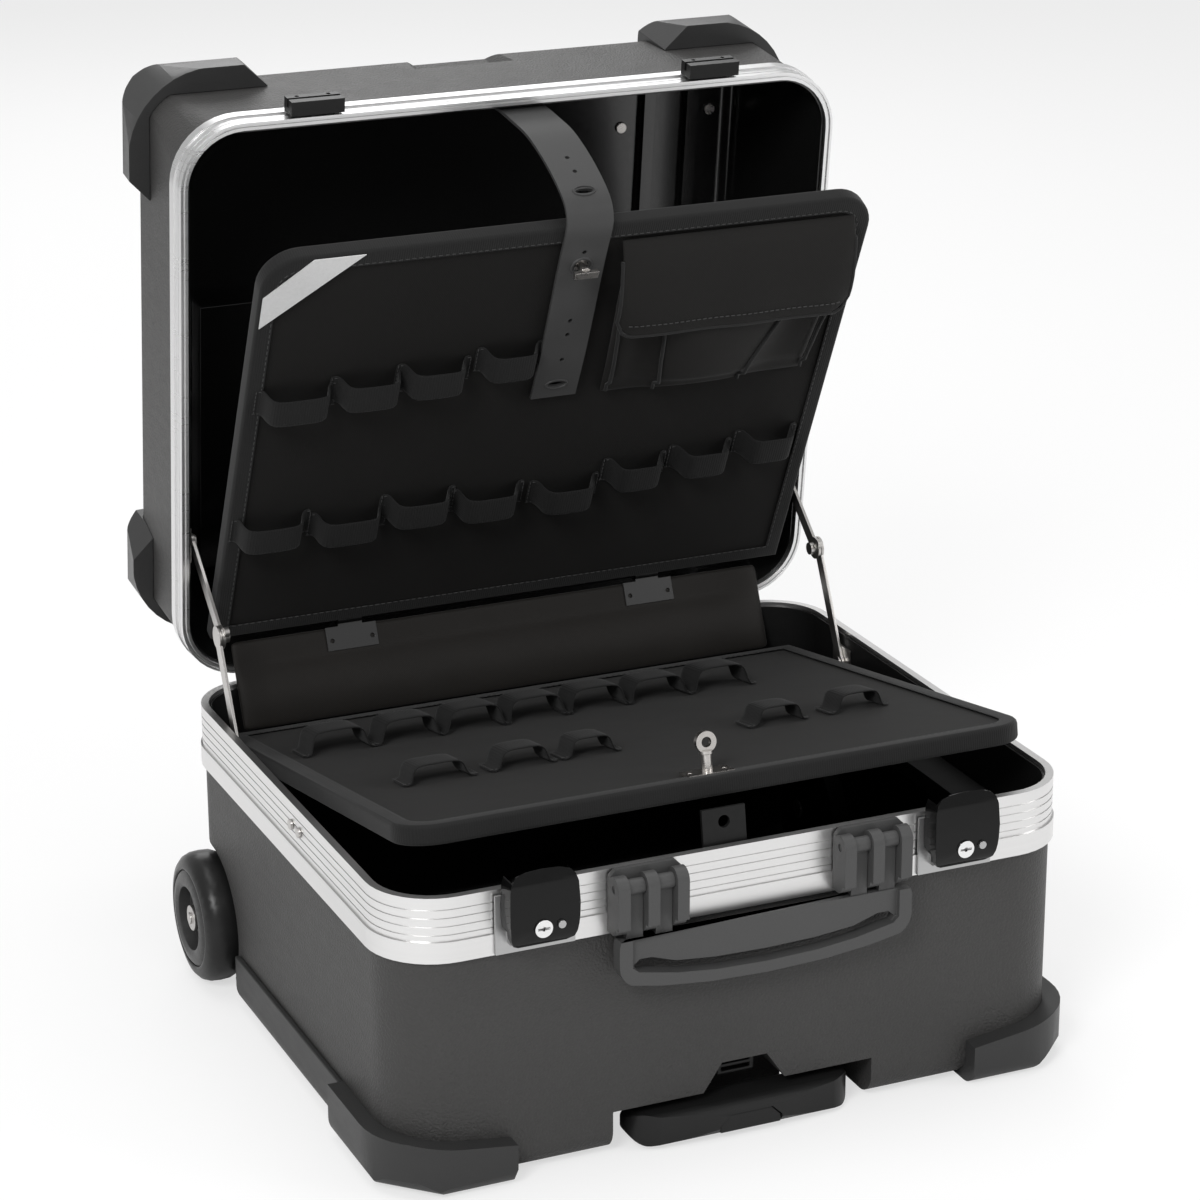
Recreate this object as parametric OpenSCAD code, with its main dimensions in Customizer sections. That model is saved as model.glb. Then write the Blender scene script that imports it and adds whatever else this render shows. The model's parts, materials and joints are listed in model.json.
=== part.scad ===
// Wheeled hard tool case lying on its back shell with the lid open.
// X = 0 is the middle of the width, -Y is the front, Z = 0 is the ground.

/* [Case] */
// outer width of the metal frame, mm
case_w = 480; // [420:1:560]
// outer depth of the metal frame, mm
case_d = 405; // [340:1:460]
// height of the base rim above the ground, mm
rim_h = 200; // [170:1:240]
// plan radius of the frame's corners, mm
corner_r = 45; // [30:1:60]
// height of the base's frame band, mm
base_band = 43; // [30:1:50]
// height of the lid's frame band, mm
lid_band = 20; // [14:1:30]
// depth of the lid from its rim, mm
lid_depth = 134; // [100:1:160]
// how far each lid wall leans in towards the top, mm
lid_taper = 8; // [0:1:14]
// width of the rim's face, mm
rim_t = 6.5; // [5:0.5:9]
// wall of the plastic shells, mm
shell_t = 3; // [2:0.5:5]
// thickness of the inner linings, mm
liner_t = 1.6; // [1:0.1:2.5]
// how far the lid stands open, degrees
lid_open = 83; // [60:1:90]

/* [Wheels] */
// radius of each wheel, mm
wheel_r = 46; // [36:1:52]
// width of each tyre, mm
tyre_w = 28; // [20:1:34]
// how far the wheels stand ahead of the rear face, mm
wheel_in = 44; // [40:1:60]
// radius of the wheels' axles, mm
axle_r = 4; // [3:0.5:6]

/* [Trolley handle] */
// half distance between the two rails, mm
rail_x = 60; // [45:1:70]
// length of the fixed rails, mm
rail_len = 300; // [240:1:320]
// half width of the recess in the front, mm
recess_hw = 92; // [80:1:100]
// height of the recess in the front, mm
recess_h = 31; // [26:1:36]

/* [Front fittings] */
// distance of each lock from the middle, mm
lock_x = 146; // [120:1:160]
// distance of each handle bracket from the middle, mm
bracket_x = 78; // [60:1:90]
// how far the carry handle sits to the right of the middle, mm
handle_x = 7; // [-10:1:10]
// half width of the carry handle, mm
handle_hw = 102; // [90:1:112]
// radius of the carry handle's pins, mm
handle_pin_r = 2.5; // [2:0.25:4]

/* [Tool boards] */
// gap between each board's side and the rim, mm
board_gap = 15.5; // [12:0.5:22]
// thickness of the tool boards, mm
board_t = 12; // [8:1:16]
// length of the lower board, mm
lower_len = 358; // [300:1:362]
// length of the upper board, mm
upper_len = 340; // [300:1:350]
// tilt of the lower board at rest, degrees
lower_tilt = 10.5; // [0:0.5:14]
// lean of the upper board at rest, degrees
upper_lean = 25.5; // [15:0.5:32]
// height of the panel between the boards, mm
spine_h = 74; // [60:1:80]
// lean of the panel between the boards, degrees
spine_lean = 23; // [10:1:26]
// radius of the boards' hinge pins, mm
board_pin_r = 2.5; // [2:0.25:3.5]

/* [Hidden] */
$fn = 64;
e = 0.01;
hw = case_w / 2;
hd = case_d / 2;
run = 0.06;              // radial running clearance
seat = 0.3;              // gap between seated pieces
step = 1.2;              // how far the frame's lip stands out
shell_hw = hw - shell_t;
shell_hd = hd - shell_t;
shell_r = corner_r - shell_t;
foot_h = 2;              // the shell's underside above the ground
edge_r = 16;             // radius of the shell's lower edges
diag_r = 26;             // radius of the same edges across the corners
lip_z = rim_h - base_band;
shell_top = lip_z + 10;
in_hw = hw - rim_t;
in_hd = hd - rim_t;
board_hw = in_hw - board_gap;
lin_hw = in_hw - 0.3 - liner_t;
lin_hd = in_hd - 0.3 - liner_t;
hinge_y = hd + 2.5;
hinge_z = rim_h;
lid_z0 = rim_h + 0.4;
lid_top = rim_h + lid_depth;
lid_lip = lid_z0 + lid_band - 8;
lid_floor = lid_top - shell_t - seat - liner_t;    // the lining's inner face
wheel_y = hd - wheel_in;
wheel_x = shell_hw - 9;     // inner face of each tyre
well_x = wheel_x - 4;       // face of the wheel's recess
well_r = wheel_r + 6;
rail_z = 12;
tube_w = 18;
tube_h = 12;
tube_t = 1.2;
chan_w = tube_w + 2;
chan_h = rail_z + tube_h / 2 + 1;
recess_y = -hd + 52;        // back of the front recess
rail_y0 = recess_y + 1;
bump = 9.5;                 // how far the corner pieces stand out
bump_front_x = 162;
bump_side_y = -102;
bump_h = 38;
front_y = -hd;
piv_y = hd - 24.5;          // lower board's hinge
piv_z = rim_h - 36;
sp_y = piv_y + spine_h * sin(spine_lean);
sp_z = piv_z + spine_h * cos(spine_lean);
stay_x = lin_hw - 1.9;      // outer face of the lower stay links
foot_y = 114;
foot_z = 177;
knee_y = 152;
knee_z = 253;
head_s = 102;               // stay pivot on the lid, along the lid from its hinge
head_n = 18;
head_cy = hinge_y - head_s;
head_cz = rim_h + head_n;
wall_lean = atan(lid_taper / (lid_depth - 15));    // lean of the lid's walls, degrees
head_wall = lin_hw - (head_n - 2) * tan(wall_lean);
strap_x = 4;
strap_w = 33;

// ---------- shared shapes ----------

function arc(cx, cy, r, a0, a1, n = 10) =
    [for (i = [0 : n]) let (a = a0 + (a1 - a0) * i / n) [cx + r * cos(a), cy + r * sin(a)]];

// plan outline with rounded corners
module plan(w, d, r) {
    polygon(concat(
        arc(w - r, d - r, r, 0, 90), arc(r - w, d - r, r, 90, 180),
        arc(r - w, r - d, r, 180, 270), arc(w - r, r - d, r, 270, 360)));
}

// upright section with rounded lower corners, open-sided above them
module section(w, z0, z1, r) {
    polygon(concat(
        [[w + 6, z1], [-w - 6, z1], [-w - 6, z0 + r], [-w, z0 + r]],
        arc(r - w, z0 + r, r, 180, 270), arc(w - r, z0 + r, r, 270, 360), [[w + 6, z0 + r]]));
}

// reach of the slanted rounding along the diagonal: half a millimetre outside the corner
function diagonal(w, d, r) = (w + d - 2 * r) / sqrt(2) + r + 0.5;

// tub with rounded corners, lower edges rounded by rb and by rc across the corners
module tub(w, d, r, z0, z1, rb, rc) {
    s = diagonal(w, d, r);
    intersection() {
        rotate([90, 0, 45]) translate([0, 0, -s - 60]) linear_extrude(2 * s + 120)
            section(s, z0, z1, rc);
        rotate([90, 0, -45]) translate([0, 0, -s - 60]) linear_extrude(2 * s + 120)
            section(s, z0, z1, rc);
        translate([0, 0, z0 - 1]) linear_extrude(z1 - z0 + 1) plan(w, d, r);
        rotate([90, 0, 0]) translate([0, 0, -d - 2]) linear_extrude(2 * d + 4) section(w, z0, z1, rb);
        rotate([90, 0, 90]) translate([0, 0, -w - 2]) linear_extrude(2 * w + 4) section(d, z0, z1, rb);
    }
}

// half section of the lid, walls leaning in, upper edges rounded
module lid_section(w, z0, z1, taper, r) {
    polygon(concat(
        [[-w, z0], [w, z0]],
        arc(w - taper - r, z1 - r, r, 0, 90), arc(r + taper - w, z1 - r, r, 90, 180)));
}

module lid_body(w, d, r, z0, z1, taper, re) {
    intersection() {
        translate([0, 0, z0]) linear_extrude(z1 - z0) plan(w + 0.4, d + 0.4, r);
        rotate([90, 0, 0]) translate([0, 0, -d - 2]) linear_extrude(2 * d + 4)
            lid_section(w, z0, z1, taper, re);
        rotate([90, 0, 90]) translate([0, 0, -w - 2]) linear_extrude(2 * w + 4)
            lid_section(d, z0, z1, taper, re);
    }
}

// hollow upright band
module band(w, d, r, z0, z1, t) {
    difference() {
        translate([0, 0, z0]) linear_extrude(z1 - z0) plan(w, d, r);
        translate([0, 0, z0 - 1]) linear_extrude(z1 - z0 + 2) plan(w - t, d - t, r - t);
    }
}

module block(x0, x1, y0, y1, z0, z1) {
    translate([x0, y0, z0]) cube([x1 - x0, y1 - y0, z1 - z0]);
}

// cylinder along X from x0 to x1
module xrod(x0, x1, y, z, r) {
    translate([x0, y, z]) rotate([0, 90, 0]) cylinder(h = x1 - x0, r = r);
}

// cylinder along Y from y0 to y1
module yrod(y0, y1, x, z, r) {
    translate([x, y0, z]) rotate([-90, 0, 0]) cylinder(h = y1 - y0, r = r);
}

// flat link in the YZ plane between two points, with a disc of its own radius at each
module link(x0, x1, a, b, w, ra, rb) {
    v = b - a;
    len = norm(v);
    translate([0, a[0], a[1]]) rotate([atan2(v[1], v[0]), 0, 0]) {
        block(x0, x1, ra / 2, len - rb / 2, -w / 2, w / 2);
        xrod(x0, x1, 0, 0, ra);
        xrod(x0, x1, len, 0, rb);
    }
}

module both_sides() {
    children();
    mirror([1, 0, 0]) children();
}

// places a piece drawn on the closed lid where the open lid has it
module on_lid() {
    translate([0, hinge_y, hinge_z]) rotate([-lid_open, 0, 0])
        translate([0, -hinge_y, -hinge_z]) children();
}

// lower board: drawn with its hinge at the origin and its front towards -Y
module on_lower() {
    translate([0, piv_y, piv_z]) rotate([-lower_tilt, 0, 0]) children();
}

module on_spine() {
    translate([0, piv_y, piv_z]) rotate([-spine_lean, 0, 0]) children();
}

// upper board: drawn with its hinge at the origin and its top towards +Z
module on_upper() {
    translate([0, sp_y, sp_z]) rotate([upper_lean, 0, 0]) children();
}

// ---------- base ----------

// housings that stand into the base: rails, front recess, wheels
module housings(g) {
    both_sides() {
        block(rail_x - chan_w / 2 - 3 - g, rail_x + chan_w / 2 + 3 + g,
              -shell_hd + 1, rail_y0 + rail_len + 8 + g, foot_h, chan_h + 3 + g);
        intersection() {
            union() {
                xrod(well_x - 3 - g, shell_hw - 0.5, wheel_y, wheel_r, well_r + 3 + g);
                block(well_x - 3 - g, shell_hw - 0.5, wheel_y, shell_hd - 0.5,
                      foot_h, wheel_r + well_r + 3 + g);
            }
            block(0, hw, -hd, shell_hd - 0.5, foot_h, rim_h);
        }
    }
    block(-recess_hw - 3 - g, recess_hw + 3 + g, -shell_hd + 1, recess_y + 3 + g, foot_h,
          recess_h + 3 + g);
    block(-33 - g, 33 + g, -shell_hd + 1, -hd + 44 + g, foot_h, recess_h + 22 + g);
}

module base_shell() {
    color("#4a4a47") difference() {
        union() {
            difference() {
                tub(shell_hw, shell_hd, shell_r, foot_h, shell_top, edge_r, diag_r);
                tub(in_hw, in_hd, corner_r - rim_t, foot_h + shell_t, shell_top + 5,
                    edge_r - shell_t, diag_r - 2);
            }
            intersection() {
                housings(0);
                tub(shell_hw - 1, shell_hd - 1, shell_r - 1, foot_h + 0.5, shell_top,
                    edge_r - 0.5, diag_r - 0.5);
            }
        }
        // rear lower edge, cut back so that the case can be tilted onto its wheels
        translate([0, shell_hd, foot_h]) rotate([45, 0, 0]) cube([2 * hw, 18, 18], center = true);
        // channels for the rails
        both_sides() block(rail_x - chan_w / 2, rail_x + chan_w / 2, recess_y - 1,
                           rail_y0 + rail_len + 5, -1, chan_h);
        // recess for the grip and its notch
        block(-recess_hw, recess_hw, -hd - 1, recess_y, -1, recess_h);
        translate([0, -hd + 41, 0]) rotate([90, 0, 0]) linear_extrude(50)
            polygon([[-29.5, recess_h - 1], [29.5, recess_h - 1], [16, recess_h + 19],
                     [-16, recess_h + 19]]);
        // wheel recesses and axle holes
        both_sides() {
            xrod(well_x, hw + 5, wheel_y, wheel_r, well_r);
            block(well_x, hw + 5, wheel_y, hd + 5, -1, wheel_r + well_r);
            xrod(well_x - 20, well_x + 5, wheel_y, wheel_r, axle_r + 0.05);
        }
    }
}

module base_frame() {
    color("#c9cac8") difference() {
        union() {
            band(hw - step, hd - step, corner_r - step, lip_z + 13, rim_h, rim_t - step);
            difference() {
                translate([0, 0, lip_z]) linear_extrude(14) plan(hw, hd, corner_r);
                translate([0, 0, lip_z - 1]) linear_extrude(11.3 + seat)
                    plan(shell_hw + 0.2, shell_hd + 0.2, shell_r + 0.2);
                translate([0, 0, lip_z - 1]) linear_extrude(16) plan(in_hw, in_hd, corner_r - rim_t);
            }
        }
        for (i = [0 : 3]) band(hw + 1, hd + 1, corner_r + 1, lip_z + 18 + i * 5.6,
                               lip_z + 18.9 + i * 5.6, step + 1.6);
        for (s = [0, 1]) mirror([s, 0, 0]) for (y = [-22, -37])
            xrod(in_hw - 5, hw + 2, y, rim_h - 15, 2.1);
    }
}

module base_liner() {
    color("#141414") difference() {
        tub(in_hw - 0.3, in_hd - 0.3, corner_r - rim_t - 0.3, foot_h + shell_t + 0.2, rim_h - 3,
            edge_r - shell_t + 1, diag_r - 0.3);
        difference() {
            tub(lin_hw, lin_hd, corner_r - rim_t - 0.3 - liner_t,
                foot_h + shell_t + 0.2 + liner_t, rim_h + 5, edge_r - shell_t - 1, diag_r - 2);
            housings(0.3 + liner_t);
        }
        housings(0.3);
        both_sides() xrod(well_x - 12, well_x, wheel_y, wheel_r, axle_r + 3 + seat);
    }
}

module base_dividers() {
    color("#1b1b1b") {
        // ledges that carry the lower board when the case is empty
        both_sides() block(lin_hw - 26, lin_hw - 0.3, -lin_hd + 46, 88, piv_z - board_t / 2 - 13,
                           piv_z - board_t / 2 - 1);
        block(-lin_hw + 46, lin_hw - 46, -lin_hd + 78, -lin_hd + 81, 60, 150);
        for (x = [-186.5, 60, 183.5]) block(x, x + 3, -lin_hd + 0.3, -lin_hd + 77.7, 60, 150);
    }
}

// outline of the shell's flat underside, g larger all round
module underside(g) {
    w = shell_hw - edge_r + g;
    d = shell_hd - edge_r + g;
    c = (diagonal(shell_hw, shell_hd, shell_r) - diag_r + g) * sqrt(2);
    polygon([[w, c - w], [c - d, d], [d - c, d], [-w, c - w],
             [-w, w - c], [d - c, -d], [c - d, -d], [w, w - c]]);
}

// thin shell around the lower edge, used for the runners and corner pieces
module edge_cover(w, d, r, h, rb, rc) {
    difference() {
        tub(w, d, r, 0, h + 60, rb, rc);
        tub(shell_hw + 0.1, shell_hd + 0.1, shell_r + 0.1, foot_h - 0.1, h + 70,
            edge_r - 0.1, diag_r - 0.1);
        translate([0, 0, -1]) linear_extrude(foot_h + 2) underside(0.4);
        block(-w - 5, w + 5, -d - 5, d + 5, h, h + 80);
    }
}

module base_bumpers() {
    w = hw + 8;
    d = hd + bump;
    r = corner_r + 6;
    color("#333331") both_sides() difference() {
        intersection() {
            edge_cover(w, d, r, bump_h + 1, 14, 20);
            block(bump_front_x, w + 10, -d - 10, bump_side_y, -1, bump_h + 2);
            // top: falls towards the end at the front
            rotate([90, 0, 0]) linear_extrude(d + 10) polygon([[0, -5], [w + 10, -5], [w + 10, bump_h],
                [hw - 10, bump_h], [bump_front_x - 5, bump_h - 9.5], [0, bump_h - 9.5]]);
        }
        // sloping facet at the front end
        translate([bump_front_x, -d, 0]) rotate([0, -24, 42])
            cube([10, 16, 3 * bump_h], center = true);
    }
}

module side_runners() {
    color("#2d2d2c") both_sides() intersection() {
        edge_cover(hw + 1, hd, corner_r, bump_h, edge_r, diag_r);
        block(hw - 32, hw + 5, bump_side_y + seat, wheel_y - well_r - 3, -1, bump_h + 3);
    }
}

module wheel_axles() {
    color("#b9bbbd") both_sides() {
        xrod(well_x - 6, wheel_x + tyre_w, wheel_y, wheel_r, axle_r);
        xrod(well_x - 6, well_x - 3.3, wheel_y, wheel_r, axle_r + 3);
        xrod(wheel_x - 3.7, wheel_x - 0.3, wheel_y, wheel_r, axle_r + 5);
        xrod(wheel_x + tyre_w - 4.7, wheel_x + tyre_w - 1.5, wheel_y, wheel_r, axle_r + 5);
    }
}

module rail_tube(w, h, t, y0, y1) {
    difference() {
        block(rail_x - w / 2, rail_x + w / 2, y0, y1, rail_z - h / 2, rail_z + h / 2);
        block(rail_x - w / 2 + t, rail_x + w / 2 - t, y0 - 1, y1 + 1,
              rail_z - h / 2 + t, rail_z + h / 2 - t);
    }
}

module trolley_rails() {
    color("#9b9d9f") both_sides() {
        rail_tube(tube_w, tube_h, tube_t, rail_y0, rail_y0 + rail_len);
        // clip that holds the rail in its channel
        for (y = [40, rail_len - 30]) difference() {
            block(rail_x - chan_w / 2 + 0.2, rail_x + chan_w / 2 - 0.2,
                  rail_y0 + y, rail_y0 + y + 12, 3.4, chan_h - 0.2);
            block(rail_x - tube_w / 2 + 0.5, rail_x + tube_w / 2 - 0.5, rail_y0 + y - 1,
                  rail_y0 + y + 13, rail_z - tube_h / 2 + 0.5, rail_z + tube_h / 2 - 0.5);
        }
    }
}

module trolley_mid() {
    color("#a8aaac") both_sides() {
        rail_tube(tube_w - 2 * tube_t - 0.4, tube_h - 2 * tube_t - 0.4, 1, rail_y0 - 5,
                  rail_y0 + rail_len - 6);
        difference() {
            block(rail_x - 9, rail_x + 9, rail_y0 - 5.5, rail_y0 - 1.3, rail_z - 6, rail_z + 6);
            block(rail_x - 7.2, rail_x + 7.2, rail_y0 - 7, rail_y0, rail_z - 4.2, rail_z + 4.2);
        }
    }
}

// front bar of the trolley grip: bowed, round in section and towards both ends
module grip_bar(w, y0, y1, z0, z1) {
    h = (z1 - z0) / 2;
    intersection() {
        translate([0, 0, z0 - 1]) linear_extrude(z1 - z0 + 2) polygon(concat([[w, y1], [-w, y1]],
            arc(24 - w, y0 + 29, 24, 180, 255, 10), [for (i = [-3 : 3]) [i * (w - 34) / 3, y0 + 4 * i * i / 9]],
            arc(w - 24, y0 + 29, 24, 285, 360, 10)));
        rotate([90, 0, 90]) translate([0, 0, -w - 1]) linear_extrude(2 * w + 2) polygon(concat(
            arc(y0 + h, z0 + h, h, 90, 270, 14), arc(y1 - 6, z0 + 6, 6, 270, 360, 6),
            arc(y1 - 6, z1 - 6, 6, 0, 90, 6)));
        rotate([90, 0, 0]) translate([0, 0, -y1 - 1]) linear_extrude(y1 - y0 + 2) polygon(concat(
            arc(w - 10, z0 + 10.5, 10.5, 270, 360, 7), arc(w - 10, z1 - 10.5, 10.5, 0, 90, 7),
            arc(10 - w, z1 - 10.5, 10.5, 90, 180, 7), arc(10 - w, z0 + 10.5, 10.5, 180, 270, 7)));
    }
}

module trolley_grip() {
    color("#232323") difference() {
        union() {
            grip_bar(79, -hd - 9.5, -hd + 22, 3, 25);
            both_sides() block(rail_x - 7, rail_x + 7, -hd + 20, rail_y0 - 6.5, rail_z - 5, rail_z + 5);
        }
        translate([0, -hd + 4, 0]) rotate([90, 0, 0]) linear_extrude(20) polygon([
            [-22, 5], [22, 5], [22, 11], [15, 18], [-15, 18], [-22, 11]]);
    }
    color("#c0c2c4") both_sides() block(rail_x - 6, rail_x + 6, rail_y0 - 6.5 - e,
                                       rail_y0 + rail_len - 12, rail_z - 3, rail_z + 3);
}

module trolley_button() {
    color("#2c2c2c") translate([0, -hd - 0.5, 0]) rotate([90, 0, 0]) linear_extrude(7) polygon([
        [-21.7, 5.3], [21.7, 5.3], [21.7, 10.9], [14.9, 17.7], [-14.9, 17.7], [-21.7, 10.9]]);
}

module trolley_latch() {
    color("#202020") difference() {
        block(-13, 13, -hd + 16, -hd + 40.7, recess_h + 3, recess_h + 16);
        for (z = [5.5, 10.5]) block(-10, 10, -hd + 14, -hd + 30, recess_h + z, recess_h + z + 2.4);
    }
}

// ---------- front fittings ----------

module brackets() {
    for (s = [-1, 1]) translate([handle_x + s * bracket_x, 0, 0]) children();
}

fork_x = [-26, -6, 14];     // left side of each fork
fork_w = 8;
fork_r = 8;
handle_y = -hd - 9.5;       // the carry handle's hinge
handle_z = rim_h - 9.5;

module handle_mounts() {
    color("#5b5c5c") brackets() difference() {
        union() {
            translate([0, -hd - 0.2, 0]) rotate([90, 0, 0]) linear_extrude(3.8) polygon([
                [-26, lip_z + 2], [22, lip_z + 2], [22, rim_h - 3], [18, rim_h + 1],
                [-22, rim_h + 1], [-26, rim_h - 3]]);
            for (x = fork_x) intersection() {
                union() {
                    block(x, x + fork_w, handle_y - fork_r, -hd - 0.2, lip_z + 8, handle_z);
                    xrod(x, x + fork_w, handle_y, handle_z, fork_r);
                    xrod(x, x + fork_w, handle_y + 2, lip_z + 8, fork_r - 2);
                    block(x, x + fork_w, handle_y + 2, -hd - 0.2, lip_z + 2, lip_z + 9);
                }
                block(x - 1, x + fork_w + 1, -hd - 20, -hd - 0.2, lip_z - 10, rim_h + 10);
            }
        }
        xrod(-30, 30, handle_y, handle_z, handle_pin_r + run);
        for (x = [-11.8, 8]) yrod(-hd - 5, -hd + 1, x, rim_h - 30, 1.6);
    }
}

module pivot_pins() {
    color("#b5b7b8") {
        brackets() xrod(fork_x[0] + 0.5, fork_x[2] + fork_w - 0.5, handle_y, handle_z, handle_pin_r);
        for (s = [-1, 1]) translate([s * lock_x, 0, 0])
            xrod(-18.8, 18.8, lock_pin_y, lock_pin_z, 1.6);
    }
}

// lower outline of the carry handle or of its slot: one side's points, drawn for both sides
function mirrored(p) = concat(p, [for (i = [len(p) - 1 : -1 : 0]) [-p[i][0], p[i][1]]]);

handle_top = lip_z - 1;     // upper edge of the handle's grip plate
handle_low = lip_z - 40;

module handle_outline() {
    polygon(mirrored(concat([[handle_hw - 1, handle_top], [handle_hw, handle_top - 4]],
        arc(handle_hw - 15, handle_low + 22, 15, 0, -62, 6),
        [[handle_hw - 30, handle_low + 4.6], [handle_hw - 62, handle_low + 1.2], [0.5, handle_low]])));
}

module handle_slot() {
    polygon(mirrored([[handle_hw - 15, handle_top - 15], [handle_hw - 11, handle_top - 18.5],
        [handle_hw - 13, handle_top - 22], [handle_hw - 40, handle_top - 27.3],
        [handle_hw - 67, handle_top - 30.2], [0.5, handle_top - 31.2]]));
}

// the slot's upper edge is bowed as its lower edge is
module slot_crown() {
    polygon(mirrored([[handle_hw - 14, handle_top - 12], [handle_hw - 40, handle_top - 20.6],
        [handle_hw - 67, handle_top - 23.2], [0.5, handle_top - 24]]));
}

module carry_handle() {
    color("#58595a") {
        brackets() for (x = [-17.7, 2.3]) difference() {
            union() {
                xrod(x, x + 11.4, handle_y, handle_z, 5);
                block(x, x + 11.4, handle_y - 0.5, handle_y + 4.5, handle_top - 2, handle_z);
            }
            xrod(x - 1, x + 13, handle_y, handle_z, handle_pin_r + run);
        }
        translate([handle_x, 0, 0]) difference() {
            union() {
                translate([0, handle_y + 5, 0]) rotate([90, 0, 0]) linear_extrude(6.5) handle_outline();
                difference() {
                    translate([0, handle_y + 5, 0]) rotate([90, 0, 0]) linear_extrude(10)
                        handle_outline();
                    // the plate above the slot is thinner than the rim round it
                    translate([0, handle_y - 1.5, 0]) rotate([90, 0, 0]) linear_extrude(20)
                        polygon(mirrored([[handle_hw - 9, handle_top + 5],
                            [handle_hw - 9, handle_top - 18.5], [handle_hw - 13, handle_top - 22],
                            [handle_hw - 40, handle_top - 27.3], [handle_hw - 67, handle_top - 30.2],
                            [0.5, handle_top - 31.2]]));
                }
            }
            translate([0, handle_y + 20, 0]) rotate([90, 0, 0]) linear_extrude(50) difference() {
                handle_slot();
                slot_crown();
            }
        }
    }
}

lock_pin_y = -hd - 6.5;     // hinge of the lock covers
lock_foot = lip_z + 8;       // lower end of the covers
lock_pin_z = lock_foot + 3.5;
ear_r = 3.6;

module lock_plates() {
    color("#77797a") for (s = [-1, 1]) translate([s * lock_x, 0, 0]) difference() {
        union() {
            block(-26.5, 26.5, -hd - 2.2, -hd - 0.2, lip_z + 0.5, rim_h - 3);
            for (x = [-19, 16.5]) {
                xrod(x, x + 2.5, lock_pin_y, lock_pin_z, ear_r);
                block(x, x + 2.5, lock_pin_y, -hd - 0.2, lock_pin_z - ear_r, lock_pin_z + ear_r);
            }
        }
        xrod(-30, 30, lock_pin_y, lock_pin_z, 1.62);
    }
}

// front outline of a lock cover, bowed like a barrel
module lock_outline() {
    polygon([[-16, 0], [16, 0], [20, 2.5], [22, 7], [23, 17], [23.2, 26], [22.6, 40], [21, 45],
        [17.5, 48.3], [11, 50.2], [0, 50.8], [-11, 50.2], [-17.5, 48.3], [-21, 45],
        [-22.6, 40], [-23.2, 26], [-23, 17], [-22, 7], [-20, 2.5]]);
}

key_x = -1.5;       // key barrel and release button, from the middle and foot of the cover
key_z = 13;
button_x = 10.5;
button_z = 14;

module lock_lever(s) {
    color("#151515") translate([s * lock_x, -hd, lock_foot]) difference() {
        intersection() {
            translate([0, -2.6, 0]) rotate([90, 0, 0]) linear_extrude(16) lock_outline();
            rotate([90, 0, 90]) translate([0, 0, -25]) linear_extrude(50) polygon([
                [-6.5, 0], [-3.8, 0.8], [-2.6, 3], [-2.6, 60], [-12, 60], [-14.4, 51], [-17.2, 42],
                [-18.6, 27], [-18, 12], [-16, 3.5], [-12.5, 0]]);
        }
        // hollow for the lid's catch, open above and behind
        block(-20.8, 20.8, -14, 0, 31, 70);
        xrod(-30, 30, -6.5, 3.5, 1.6 + run);
        // room for the ears of its plate
        both_sides() block(16.2, 30, -10.7, 0, -1, 11.4);
        // seat of the key barrel and of the release button
        yrod(-30, -11, key_x, key_z, 5.8 + run);
        yrod(-30, -14, button_x, button_z, 2.8);
    }
}

module key_barrel(s) {
    color("#cfd1d3") translate([s * lock_x, -hd, lock_foot]) difference() {
        yrod(-19.6, -11.2, key_x, key_z, 5.8);
        block(key_x - 4, key_x + 4, -21, -17.6, key_z - 0.8, key_z + 0.8);
        yrod(-20.5, -17.8, key_x, key_z, 1.5);
    }
}

module lock_button(s) {
    color("#8c8f90") translate([s * lock_x, -hd, lock_foot]) yrod(-20, -15.6, button_x, button_z, 2.6);
}

// ---------- rear hinge ----------

module hinge_base() {
    color("#b4b6b7") for (x = [-150, 0, 150]) translate([x, 0, 0]) difference() {
        union() {
            block(-30, 30, hd + 0.1, hd + 1.6, rim_h - 22, rim_h - 2.8);
            for (k = [-30, 12]) {
                xrod(k, k + 18, hinge_y, hinge_z, 2.3);
                block(k, k + 18, hd + 0.1, hd + 1.6, rim_h - 3, rim_h);
            }
        }
        xrod(-31, 31, hinge_y, hinge_z, 1.32);
    }
}

module hinge_pins() {
    color("#9fa1a2") for (x = [-150, 0, 150]) xrod(x - 29.8, x + 29.8, hinge_y, hinge_z, 1.3);
}

module hinge_lid() {
    color("#b4b6b7") on_lid() for (x = [-150, 0, 150]) translate([x, 0, 0]) difference() {
        union() {
            block(-30, 30, hd + 0.1, hd + 1.6, rim_h + 3, rim_h + lid_band - 1);
            xrod(-11.8, 11.8, hinge_y, hinge_z, 2.3);
            block(-11.8, 11.8, hd + 0.1, hd + 1.6, rim_h + 0.6, rim_h + 4);
        }
        xrod(-13, 13, hinge_y, hinge_z, 1.3 + run);
    }
}

// ---------- lid ----------

notch_hw = 27;      // half width of the finger hollow's floor

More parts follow.
